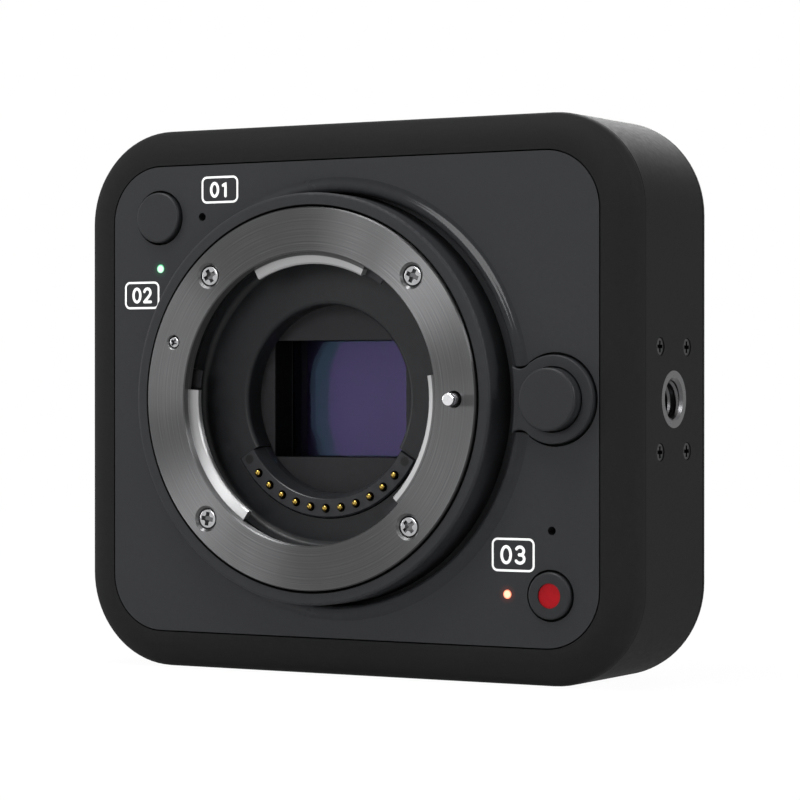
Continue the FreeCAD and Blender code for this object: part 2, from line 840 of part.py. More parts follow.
def body_frame():
    """Side band with the corner bosses, the socket holes and the openings on its left."""
    shell = band(path_edges([
        rim_point(seam_chamfer, crease_y),
        rim_point(0.0, crease_y + seam_chamfer),
        rim_point(0.0, rear_crease_y - seam_chamfer),
        rim_point(seam_chamfer, rear_crease_y),
        rim_point(wall, rear_crease_y),
        rim_point(wall, crease_y),
        rim_point(seam_chamfer, crease_y),
    ]))
    inside = slab(wall / 2, chassis_back, main_board_y)
    bosses = []
    for x, z in corner_points():
        boss = disc(boss_radius, chassis_back, main_board_y, x, z)
        reach_x = body_left if x < body_middle else body_right
        reach_z = body_base if z < 0 else body_top
        web = box(min(x, reach_x), max(x, reach_x), chassis_back, main_board_y,
                  min(z, reach_z), max(z, reach_z))
        bosses.append(boss.fuse(web).common(inside))
    solid = fuse_all([shell] + bosses)
    tools = []
    for x, z in corner_points():
        tools.append(disc(corner_screw_radius, chassis_back, chassis_y + corner_screw_length, x, z))
        tools.append(disc(corner_screw_radius, main_board_y - rear_screw_reach, main_board_y, x, z))
    for place in socket_places().values():
        tools += [placed(tool, place) for tool in socket_cutters()]
    tools += port_cutters()
    return solid.cut(tools)


def rear_cover():
    """Back shell with the same bevel as the front, its rim and its screw bosses."""
    bevel = bevel_edges(rear_y, rear_crease_y)
    tongue_outer = wall + fit_gap
    tongue_inner = tongue_outer + tongue_thickness
    overlap = rim_inset + ledge_width
    inside = path_edges([
        rim_point(0.0, rear_crease_y),
        rim_point(tongue_outer, rear_crease_y),
        rim_point(tongue_outer, rear_crease_y - fit_gap - bevel_depth / 4),
        rim_point(tongue_inner, rear_crease_y - fit_gap - bevel_depth / 4),
        rim_point(tongue_inner, cover_inner_y),
        rim_point(overlap, cover_inner_y),
        rim_point(overlap, rear_y),
        rim_point(bevel_width, rear_y),
    ])
    solid = fuse_all([
        band(bevel + inside),
        slab(overlap, cover_inner_y, rear_y),
    ] + [disc(cover_boss_radius, main_board_back, cover_inner_y, x, z) for x, z in corner_points()])
    tools = []
    for x, z in corner_points():
        tools.append(disc(corner_screw_radius + screw_clearance, 0, rear_y, x, z))
        tools.append(disc(corner_head_radius + screw_clearance, rear_y - corner_head_height,
                          rear_y + overcut, x, z))
    return solid.cut(tools)


def rear_cover_screws():
    """Screws from behind, each with its head flush in the cover."""
    solids = []
    tip = main_board_y - rear_screw_reach
    for x, z in corner_points():
        head = disc(corner_head_radius, rear_y - corner_head_height, rear_y, x, z)
        shank = disc(corner_screw_radius, tip, rear_y - corner_head_height, x, z)
        recess = cross_recess(corner_head_radius, rear_y - cross_depth, x, z)
        solids.append(head.fuse(shank).removeSplitter().cut(recess))
    return solids


def chassis_plate():
    """Inner plate behind the mount housing."""
    plate = slab(chassis_inset, chassis_y, chassis_back)
    window_half = bracket_inside()
    tools = [
        disc(chassis_hole_radius, chassis_y, chassis_back),
        box(lock_pin_x - link_end - bracket_side_gap, release_x + release_radius + link_window_gap,
            chassis_y, chassis_back, -window_half, window_half),
    ]
    for x, z in corner_points():
        tools.append(disc(corner_screw_radius, chassis_y, chassis_back, x, z))
    for x, z in carrier_screw_points():
        tools.append(disc(carrier_screw_radius, chassis_y, chassis_back, x, z))
    tools += [placed(socket_notch(), place) for place in socket_places().values()]
    return plate.cut(tools)


def bracket_inside():
    """Half height of the space that the release button moves in."""
    return release_radius + release_collar + link_window_gap / 2


def chassis_screws():
    return [screw(corner_head_radius, corner_head_height, corner_screw_radius,
                  corner_screw_length, chassis_y - corner_head_height, x, z)
            for x, z in corner_points()]


def mount_housing():
    """Ring-shaped boss: pocket for the lens ring in front, ledge for the baffle inside."""
    pocket = ring_radius + ring_pocket_gap
    flange = housing_radius + housing_flange_overlap
    flange_y = chassis_y - housing_flange_thickness
    solid = ring_solid([
        (pocket, housing_lip_setback),
        (housing_radius, housing_lip_setback),
        (housing_radius, flange_y),
        (flange, flange_y),
        (flange, chassis_y),
        (housing_ledge_radius, chassis_y),
        (housing_ledge_radius, throat_floor_back),
        (housing_bore_radius, throat_floor_back),
        (housing_bore_radius, ring_seat_y),
        (pocket, ring_seat_y),
    ])
    solid = solid.makeFillet(housing_edge_radius, edges_at(solid, housing_lip_setback, housing_radius))
    tools = [disc(lock_pin_radius + pin_guide_gap, 0, chassis_y, lock_pin_x)]
    screw_end = ring_screw_sink + ring_screw_head_height + ring_screw_length
    for x, z in ring_screw_points():
        tools.append(disc(ring_screw_shank_radius, 0, screw_end, x, z))
    x, z = index_screw_point()
    index_end = index_screw_sink + index_screw_head_height + ring_screw_length / 2
    tools.append(disc(index_screw_shank_radius, 0, index_end, x, z))
    return solid.cut(tools)


def mount_ring():
    """Steel lens ring with three claws and its sunk screw holes."""
    ring = ring_solid([
        (ring_bore_radius, 0.0),
        (ring_radius, 0.0),
        (ring_radius, ring_thickness),
        (claw_root_radius, ring_thickness),
        (claw_root_radius, claw_depth),
        (ring_bore_radius, claw_depth),
    ])
    ring = ring.makeChamfer(ring_edge, edges_at(ring, 0.0))
    claw = [
        (claw_radius, claw_depth + claw_edge),
        (claw_radius + claw_edge, claw_depth),
        (claw_root_radius + overcut, claw_depth),
        (claw_root_radius + overcut, ring_thickness),
        (claw_radius + claw_step, ring_thickness),
        (claw_radius + claw_step, claw_depth + claw_land + claw_step),
        (claw_radius, claw_depth + claw_land),
    ]
    claws = [ring_solid(claw, start, end) for start, end in claw_arcs]
    solid = fuse_all([ring] + claws)
    tools = [disc(lock_pin_radius + lock_pin_ring_gap, 0, ring_thickness, lock_pin_x)]
    for x, z in ring_screw_points():
        tools += screw_seat(ring_screw_rim_radius, ring_screw_head_radius, ring_screw_sink,
                            ring_screw_head_height, ring_screw_shank_radius, x, z)
    x, z = index_screw_point()
    tools += screw_seat(index_screw_rim_radius, index_screw_head_radius, index_screw_sink,
                        index_screw_head_height, index_screw_shank_radius, x, z)
    return solid.cut(tools)


def screw_seat(rim_radius, head_radius, sink, head_height, shank_radius, x, z):
    """Cutters for a sunk screw in the lens ring: flared rim, counterbore and clearance hole."""
    bore = head_radius + ring_screw_head_gap
    return [
        cone(rim_radius, bore, 0, rim_radius - bore, x, z),
        disc(bore, 0, sink + head_height, x, z),
        disc(shank_radius + screw_side_gap, 0, ring_thickness, x, z),
    ]


def mount_ring_screws():
    return [screw(ring_screw_head_radius, ring_screw_head_height, ring_screw_shank_radius,
                  ring_screw_length, ring_screw_sink, x, z, turn)
            for (x, z), turn in zip(ring_screw_points(), ring_screw_turns)]


def mount_index_screw():
    x, z = index_screw_point()
    return screw(index_screw_head_radius, index_screw_head_height, index_screw_shank_radius,
                 ring_screw_length / 2, index_screw_sink, x, z, index_screw_turn)


def mount_spring():
    """Thin spring ring behind the lens ring, with three leaves reaching inwards."""
    outer = ring_radius - ring_edge
    inner = housing_bore_radius
    ring = ring_solid([(inner, ring_thickness), (outer, ring_thickness),
                       (outer, ring_seat_y), (inner, ring_seat_y)])
    leaves = [ring_solid([(spring_leaf_radius, ring_thickness), (inner + overcut, ring_thickness),
                          (inner + overcut, ring_seat_y), (spring_leaf_radius, ring_seat_y)], start, end)
              for start, end in spring_leaf_arcs]
    solid = fuse_all([ring] + leaves)
    tools = [disc(lock_pin_radius + lock_pin_ring_gap, 0, ring_seat_y, lock_pin_x)]
    for x, z in ring_screw_points():
        tools.append(disc(ring_screw_shank_radius + screw_side_gap, 0, ring_seat_y, x, z))
    x, z = index_screw_point()
    tools.append(disc(index_screw_shank_radius + screw_side_gap, 0, ring_seat_y, x, z))
    return solid.cut(tools)


def throat_baffle():
    """Black cup behind the ring, with a rounded opening, cut out for the contact block."""
    outer = housing_bore_radius - fit_gap
    inner = throat_wall_radius
    opening = throat_opening_radius
    tube = opening + throat_tube_wall
    solid = ring_solid([
        (outer, throat_wall_start),
        (outer, throat_floor_back),
        (tube, throat_floor_back),
        (tube, shield_y),
        (opening, shield_y),
        (opening, throat_depth),
        (inner, throat_depth),
        (inner, throat_wall_start),
    ])
    solid = solid.makeFillet(throat_lip_radius, edges_at(solid, throat_depth, opening))
    solid = solid.makeFillet(throat_corner_radius, edges_at(solid, throat_depth, inner))
    gap_deg = math.degrees(block_gap / block_inner_radius)
    start = contact_middle_deg - contact_half_span_deg - gap_deg
    end = contact_middle_deg + contact_half_span_deg + gap_deg
    window = ring_solid([
        (opening - overcut, throat_depth - overcut),
        (block_outer_radius + block_gap, throat_depth - overcut),
        (block_outer_radius + block_gap, shield_y),
        (opening - overcut, shield_y),
    ], start, end)
    return solid.cut(window)


def contact_block():
    """Crescent block with a guided hole and a spring pocket for each contact."""
    start = contact_middle_deg - contact_half_span_deg
    end = contact_middle_deg + contact_half_span_deg
    solid = ring_solid([
        (block_inner_radius, block_y + block_lip),
        (block_inner_radius + block_lip, block_y),
        (block_outer_radius - block_edge, block_y),
        (block_outer_radius, block_y + block_edge),
        (block_outer_radius, chassis_y),
        (block_foot_radius, chassis_y),
        (block_foot_radius, block_y + block_slope_depth),
    ], start, end)
    pocket_y = pin_y + pin_collar_setback - pin_pocket_lead
    tools = []
    guide = pin_radius + pin_guide_gap
    for at in contact_points():
        tools.append(disc(guide, block_y - overcut, chassis_y, at.x, at.z))
        tools.append(cone(guide + pin_flare, guide, block_y, block_y + pin_flare, at.x, at.z))
        tools.append(disc(pin_pocket_radius, pocket_y, chassis_y, at.x, at.z))
    return solid.cut(tools)


def contact_flex():
    """Flexible circuit that closes the back of the contact block."""
    inner = block_foot_radius + flex_inset
    return ring_solid([(inner, chassis_y), (block_outer_radius, chassis_y),
                       (block_outer_radius, chassis_y + flex_thickness),
                       (inner, chassis_y + flex_thickness)],
                      contact_middle_deg - contact_half_span_deg,
                      contact_middle_deg + contact_half_span_deg)


def contact_pin(at):
    """Sprung contact with a rounded tip and a collar that keeps it in its block."""
    def point(radius, depth):
        return vector(at.x + radius, pin_y + depth, at.z)

    flat = pin_radius - pin_tip_radius
    bend = pin_tip_radius * (1 - math.sqrt(0.5))
    collar_end = pin_collar_setback + pin_collar_length
    tip = arc(point(flat, 0), point(pin_radius - bend, bend), point(pin_radius, pin_tip_radius))
    rest = path_edges([
        point(pin_radius, pin_tip_radius),
        point(pin_radius, pin_collar_setback),
        point(pin_collar_radius, pin_collar_setback),
        point(pin_collar_radius, collar_end),
        point(pin_radius, collar_end),
        point(pin_radius, pin_length),
        point(0, pin_length),
        point(0, 0),
        point(flat, 0),
    ])
    return closed_face([tip] + rest).revolve(vector(at.x, 0, at.z), vector(0, 1, 0), 360)


def light_shield():
    """Rectangular shaft in front of the filter, with a round plate that closes the throat."""
    plate = disc(shield_plate_radius, shield_y, shield_y + shield_plate_thickness)
    tube = centred_box(shield_outer, shield_y, shield_back)
    window = centred_box((window_width, window_height), shield_y, shield_back)
    return plate.fuse(tube).removeSplitter().cut(window)


def filter_gasket():
    frame = centred_box(shield_outer, shield_back, filter_y)
    return frame.cut(centred_box((window_width, window_height), shield_back, filter_y))


def filter_glass():
    return centred_box(shield_outer, filter_y, filter_back)


def carrier_screw_points():
    half_x = carrier_size[0] / 2 - carrier_screw_inset
    half_z = carrier_size[1] / 2 - carrier_screw_inset
    return [(x, z) for x in (-half_x, half_x) for z in (-half_z, half_z)]


def sensor_carrier():
    """Metal block behind the chassis that holds the light shield, the filter and the sensor."""
    aperture = (window_width + 2 * aperture_margin, window_height + 2 * aperture_margin)
    tools = [
        centred_box(shield_pocket, shield_y + shield_plate_thickness, filter_back),
        centred_box(aperture, filter_back, sensor_y),
        centred_box((sensor_width + 2 * pocket_gap, sensor_height + 2 * pocket_gap),
                    sensor_y, sensor_back),
    ]
    for x, z in carrier_screw_points():
        tools.append(disc(carrier_screw_radius + screw_clearance, 0, sensor_back, x, z))
    return centred_box(carrier_size, chassis_back, sensor_back).cut(tools)


def carrier_screws():
    """Screws from behind, through the sensor board and the carrier into the chassis."""
    solids = []
    tip = chassis_back - carrier_screw_bite
    for x, z in carrier_screw_points():
        head_end = sensor_board_back + carrier_screw_head_height
        head = disc(carrier_screw_head, sensor_board_back, head_end, x, z)
        shank = disc(carrier_screw_radius, tip, sensor_board_back, x, z)
        recess = cross_recess(carrier_screw_head, head_end - cross_depth, x, z)
        solids.append(head.fuse(shank).removeSplitter().cut(recess))
    return solids


def image_sensor():
    """Sensor package: a rim, a shelf for its window, and the sensor's surface behind."""
    cover = (sensor_width - 2 * sensor_rim, sensor_height - 2 * sensor_rim)
    well = (cover[0] - 2 * sensor_shelf, cover[1] - 2 * sensor_shelf)
    glass_back = sensor_y + cover_glass_thickness
    return centred_box((sensor_width, sensor_height), sensor_y, sensor_back).cut([
        centred_box(cover, sensor_y, glass_back),
        centred_box(well, glass_back, flange_distance),
    ])


def sensor_cover_glass():
    cover = (sensor_width - 2 * sensor_rim, sensor_height - 2 * sensor_rim)
    return centred_box(cover, sensor_y, sensor_y + cover_glass_thickness)


def sensor_board():
    holes = [disc(carrier_screw_radius + screw_clearance, sensor_back, sensor_board_back, x, z)
             for x, z in carrier_screw_points()]
    return centred_box(carrier_size, sensor_back, sensor_board_back).cut(holes)


def board_connector():
    return centred_box((connector_length, connector_width), sensor_board_back, main_board_y,
                       0.0, connector_z)


def main_board():
    holes = [disc(corner_screw_radius + screw_clearance, main_board_y, main_board_back, x, z)
             for x, z in corner_points()]
    return slab(board_inset, main_board_y, main_board_back).cut(holes)


def main_processor():
    return centred_box((chip_size, chip_size), main_board_back, chip_back, chip_x)


def release_housing():
    """Keyhole-shaped surround of the release button, with a flange behind the front panel."""
    prism = surround_prism(0.0, surround_y, surround_back)
    prism = prism.makeFillet(surround_edge, [edge for edge in prism.Edges
                                             if abs(edge.BoundBox.YMax - surround_y) < 1e-6])
    flange = disc(surround_radius + surround_flange, plate_back,
                  plate_back + surround_flange_thickness, release_x)
    clear_of_cup = disc(moat_radius + moat_wall + fit_gap, plate_back,
                        plate_back + surround_flange_thickness, moat_offset_x)
    hole = disc(release_radius + release_gap, surround_y, surround_back, release_x)
    return prism.fuse(flange.cut(clear_of_cup)).removeSplitter().cut(hole)


def release_button():
    """Lens release button with its collar and stem."""
    cap = disc(release_radius, release_y, surround_back + button_back_gap, release_x)
    cap = cap.makeFillet(release_edge, edges_at(cap, release_y))
    collar_y = surround_back + button_back_gap
    collar_end = collar_y + release_collar_thickness
    collar = disc(release_radius + release_collar, collar_y, collar_end, release_x)
    stem = disc(release_stem_radius, collar_end, link_y, release_x)
    return fuse_all([cap, collar, stem])


def release_link():
    """Plate that carries the lock pin with the release button."""
    left = lock_pin_x - link_end
    bar = box(left, release_x, link_y, link_back, -link_half_width, link_half_width)
    return fuse_all([bar, disc(link_half_width, link_y, link_back, release_x)])


def lock_pin():
    """Pin that stands out of the ring and locks the lens, with a groove behind its tip."""
    pin = disc(lock_pin_radius, -lock_pin_proud, link_y, lock_pin_x)
    pin = pin.makeFillet(lock_pin_tip, edges_at(pin, -lock_pin_proud))
    start = lock_pin_groove_setback - lock_pin_proud
    end = start + lock_pin_groove_width
    groove = disc(lock_pin_radius + overcut, start, end, lock_pin_x)
    neck = disc(lock_pin_radius - lock_pin_groove_depth, start, end, lock_pin_x)
    return pin.cut(groove.cut(neck))


def release_bracket():
    """Bridge on the chassis behind the link, with a post for the spring."""
    x0 = release_x - bracket_length / 2
    x1 = release_x + bracket_length / 2
    inside = bracket_inside()
    outside = inside + bracket_leg
    bridge = box(x0, x1, bracket_y, bracket_y + bracket_thickness, -outside, outside)
    legs = [box(x0, x1, chassis_back, bracket_y, *span)
            for span in ((-outside, -inside), (inside, outside))]
    post = disc(bracket_post_radius, bracket_y - bracket_post_length, bracket_y, release_x)
    return fuse_all([bridge, post] + legs)


def release_spring():
    """Spring between the link and the bracket, as a plain sleeve of its outer size."""
    outer = disc(spring_radius, link_back, bracket_y, release_x)
    return outer.cut(disc(spring_radius - spring_wire, link_back, bracket_y, release_x))


def push_button(at, radius, proud):
    """Front button: rounded cap, collar behind the panel, stem towards its switch."""
    x, z = at
    cap = disc(radius, plate_y - proud, button_collar_y, x, z)
    cap = cap.makeFillet(button_edge, edges_at(cap, plate_y - proud))
    collar_end = button_collar_y + button_collar_thickness
    collar = disc(radius + button_collar, button_collar_y, collar_end, x, z)
    stem = disc(button_stem_radius, collar_end, button_stem_end, x, z)
    return fuse_all([cap, collar, stem])


def power_button():
    return push_button(power_button_at, power_button_radius, power_button_proud)


def record_button():
    x, z = record_button_at
    face = plate_y - record_button_proud
    body = push_button(record_button_at, record_button_radius, record_button_proud)
    return body.cut(disc(record_cap_radius, face, face + record_cap_sink + record_cap_thickness, x, z))


def record_button_cap():
    x, z = record_button_at
    top = plate_y - record_button_proud + record_cap_sink
    return disc(record_cap_radius, top, top + record_cap_thickness, x, z)


def tact_switch(at):
    x, z = at
    body = centred_box((switch_size, switch_size), button_board_y - switch_height, button_board_y, x, z)
    tip = disc(switch_tip_radius, switch_tip_y, button_board_y - switch_height, x, z)
    return body.fuse(tip).removeSplitter()


def button_board(places):
    """Small board on the chassis behind a group of front parts, clear of the mount housing."""
    xs = [x for x, z in places]
    zs = [z for x, z in places]
    board = box(min(xs) - button_board_margin / 2, max(xs) + button_board_margin / 2,
                button_board_y, chassis_y,
                min(zs) - button_board_margin / 2, max(zs) + button_board_margin / 2)
    keep_out = housing_radius + housing_flange_overlap + button_board_clearance / 2
    near_screws = [disc(corner_head_radius + 2 * fit_gap, button_board_y, chassis_y, x, z)
                   for x, z in corner_points()]
    return board.cut([disc(keep_out, button_board_y, chassis_y)] + near_screws)


def left_button_board():
    return button_board((power_button_at, status_light_at, left_microphone_at))


def right_button_board():
    return button_board((record_button_at, record_light_at, right_microphone_at))


def led_chips():
    return [centred_box((led_size, led_size), button_board_y - led_height, button_board_y, x, z)
            for x, z in (status_light_at, record_light_at)]


def light_pipe(at):
    x, z = at
    return disc(light_radius, plate_y, button_board_y - led_height, x, z)


def microphones():
    return [centred_box((microphone_width, microphone_length), button_board_y - microphone_height,
                        button_board_y, x, z)
            for x, z in (left_microphone_at, right_microphone_at)]


def microphone_boots():
    end = button_board_y - microphone_height
    boots = []
    for x, z in (left_microphone_at, right_microphone_at):
        channel = disc(microphone_hole_radius, plate_back, end, x, z)
        boots.append(disc(boot_radius, plate_back, end, x, z).cut(channel))
    return boots


def build_nodes():
    """Every piece by its name; a list is a group of separate solids."""
    nodes = {
        "front_bezel": front_bezel(),
        "front_plate": front_plate(),
        "body_frame": body_frame(),
        "rear_cover": rear_cover(),
        "rear_cover_screws": rear_cover_screws(),
        "chassis_plate": chassis_plate(),
        "chassis_screws": chassis_screws(),
        "mount_housing": mount_housing(),
        "mount_ring": mount_ring(),
        "mount_ring_screws": mount_ring_screws(),
        "mount_index_screw": mount_index_screw(),
        "mount_spring": mount_spring(),
        "throat_baffle": throat_baffle(),
        "contact_block": contact_block(),
        "contact_flex": contact_flex(),
        "light_shield": light_shield(),
        "filter_gasket": filter_gasket(),
        "filter_glass": filter_glass(),
        "sensor_carrier": sensor_carrier(),
        "carrier_screws": carrier_screws(),
        "image_sensor": image_sensor(),
        "sensor_cover_glass": sensor_cover_glass(),
        "sensor_board": sensor_board(),
        "board_connector": board_connector(),
        "main_board": main_board(),
        "main_processor": main_processor(),
        "release_housing": release_housing(),
        "release_button": release_button(),
        "release_link": release_link(),
        "lock_pin": lock_pin(),
        "release_bracket": release_bracket(),
        "release_spring": release_spring(),
        "power_button": power_button(),
        "record_button": record_button(),
        "record_button_cap": record_button_cap(),
        "button_switches": [tact_switch(power_button_at), tact_switch(record_button_at)],
        "button_boards": [left_button_board(), right_button_board()],
        "led_chips": led_chips(),
        "status_light_pipe": light_pipe(status_light_at),
        "record_light_pipe": light_pipe(record_light_at),
        "microphones": microphones(),
        "microphone_boots": microphone_boots(),
        "usb_port": usb_port(),
        "hdmi_port": hdmi_port(),
        "audio_jack": audio_jack(),
    }
    for index, at in enumerate(contact_points(), start=1):
        nodes["contact_pin_%02d" % index] = contact_pin(at)
    for name, place in socket_places().items():
        nodes[name + "_tripod_socket"] = placed(tripod_socket(), place)
    nodes["socket_plates"] = [placed(socket_plate(), place) for place in socket_places().values()]
    nodes["socket_plate_screws"] = [placed(shape, place) for place in socket_places().values()
                                    for shape in plate_screws()]
    return nodes


def write_nodes(nodes):
    os.makedirs("parts", exist_ok=True)
    for name, shape in nodes.items():
        solids = shape if isinstance(shape, list) else [shape]
        for solid in solids:
            if not solid.isValid() or len(solid.Solids) != 1:
                print("check", name, "valid", solid.isValid(), "solids", len(solid.Solids))
        whole = Part.makeCompound(solids) if len(solids) > 1 else solids[0].Solids[0]
        whole.exportStep(os.path.join("parts", name + ".step"))


write_nodes(build_nodes())
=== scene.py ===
import json
import math

import bmesh
import bpy
from mathutils import Matrix, Vector


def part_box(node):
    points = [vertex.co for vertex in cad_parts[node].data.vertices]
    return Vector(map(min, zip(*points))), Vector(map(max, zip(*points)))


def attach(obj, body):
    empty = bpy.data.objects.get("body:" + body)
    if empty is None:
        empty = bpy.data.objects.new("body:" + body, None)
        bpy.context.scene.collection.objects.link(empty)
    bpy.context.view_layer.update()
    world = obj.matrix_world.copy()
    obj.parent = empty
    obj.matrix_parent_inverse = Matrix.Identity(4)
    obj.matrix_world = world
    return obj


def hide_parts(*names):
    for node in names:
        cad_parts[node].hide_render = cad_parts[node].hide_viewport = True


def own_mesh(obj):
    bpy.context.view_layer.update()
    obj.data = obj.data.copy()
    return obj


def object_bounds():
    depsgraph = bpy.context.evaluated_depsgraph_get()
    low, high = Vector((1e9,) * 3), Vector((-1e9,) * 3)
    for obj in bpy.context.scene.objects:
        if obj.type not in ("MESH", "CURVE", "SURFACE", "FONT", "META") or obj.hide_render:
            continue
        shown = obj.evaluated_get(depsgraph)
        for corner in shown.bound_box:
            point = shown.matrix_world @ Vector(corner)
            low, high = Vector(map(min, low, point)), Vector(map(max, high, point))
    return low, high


MM = 0.001
BODY = "camera_body"

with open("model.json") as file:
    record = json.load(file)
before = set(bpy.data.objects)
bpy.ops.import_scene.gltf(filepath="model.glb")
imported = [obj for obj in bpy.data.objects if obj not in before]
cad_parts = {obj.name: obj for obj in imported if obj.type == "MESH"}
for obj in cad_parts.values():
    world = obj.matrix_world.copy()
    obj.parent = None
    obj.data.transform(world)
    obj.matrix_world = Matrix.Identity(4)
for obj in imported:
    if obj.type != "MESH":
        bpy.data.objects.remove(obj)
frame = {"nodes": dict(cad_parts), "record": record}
cad_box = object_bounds()
nodes = frame["nodes"]
slot_of = {part["node"]: part["material_slot"] for part in frame["record"]["subparts"]}

# Places and sizes on the front that the materials and the print need, in millimetres
PLATE_Y = 3.5
STATUS_LIGHT = (-27.1, 18.9)
RECORD_LIGHT = (30.1, -26.6)
RING_RADIUS = 27.0
BORE_RADIUS = 20.7
CLAW_DEPTH = 1.15
SCREW_FACE = 0.3
SENSOR_FACE = 19.25
CONTACT_ROW = 15.54
CONTACT_PITCH = math.radians(9.32)

# Bead beside the moat: its circle, and the crest that its shading is rounded to
BEAD_CENTRE = (2.4, 0.0)
BEAD_RADIUS = 30.1
CREST_RADIUS = BEAD_RADIUS + 0.32
CREST_REACH = 0.68
CREST_SLOPE = 0.32

# Edges of the materials' masks: where a mask is 0 and where it is 1, in millimetres from the
# radius or the depth that it belongs to
BEAD_INSIDE, BEAD_OUTSIDE, BEAD_BACK = (-0.75, -0.3), (1.4, 1.1), (0.3, 0.2)
BEAD_RIGHT = (-20.0, 10.0)
# Edges of the painted shade in the seam round the ring
SEAM_SHADE = (0.42, 0.34)
# Reach of the painted glow round the two lights
GLOW_REACH = (1.35, 0.6)
LIGHT_RIM = (0.42, 0.62)
# Edges of the painted shadow that the bore's edge casts on the claws, and of the claws' face
CLAW_SHADOW, CLAW_FACE = (-0.42, -0.52), (-0.05, -0.01)
# Edges of the painted shade on the ring's outer rim
RING_RIM_SHADE = (-0.2, -0.12)
CROSS_TOP, CROSS_FLOOR = (0.1, 0.2), (0.65, 0.6)
# Edges of the painted dark reflection on the contacts' tips, and of the painted shade round their edges
TIP_REFLECTION_INSIDE, TIP_REFLECTION_OUTSIDE, TIP_EDGE_SHADE = (0.1, 0.16), (0.3, 0.24), (0.36, 0.44)
# Edges of the painted shade in the mouths of the contacts' holes
HOLE_SHADE = (0.72, 0.62)
# Edges of the painted shade on the shaft's walls, behind its front
SHAFT_SHADE = (0.15, 0.4)
WELL_ABOVE, WELL_BELOW = (-0.05, -0.01), (0.05, 0.01)


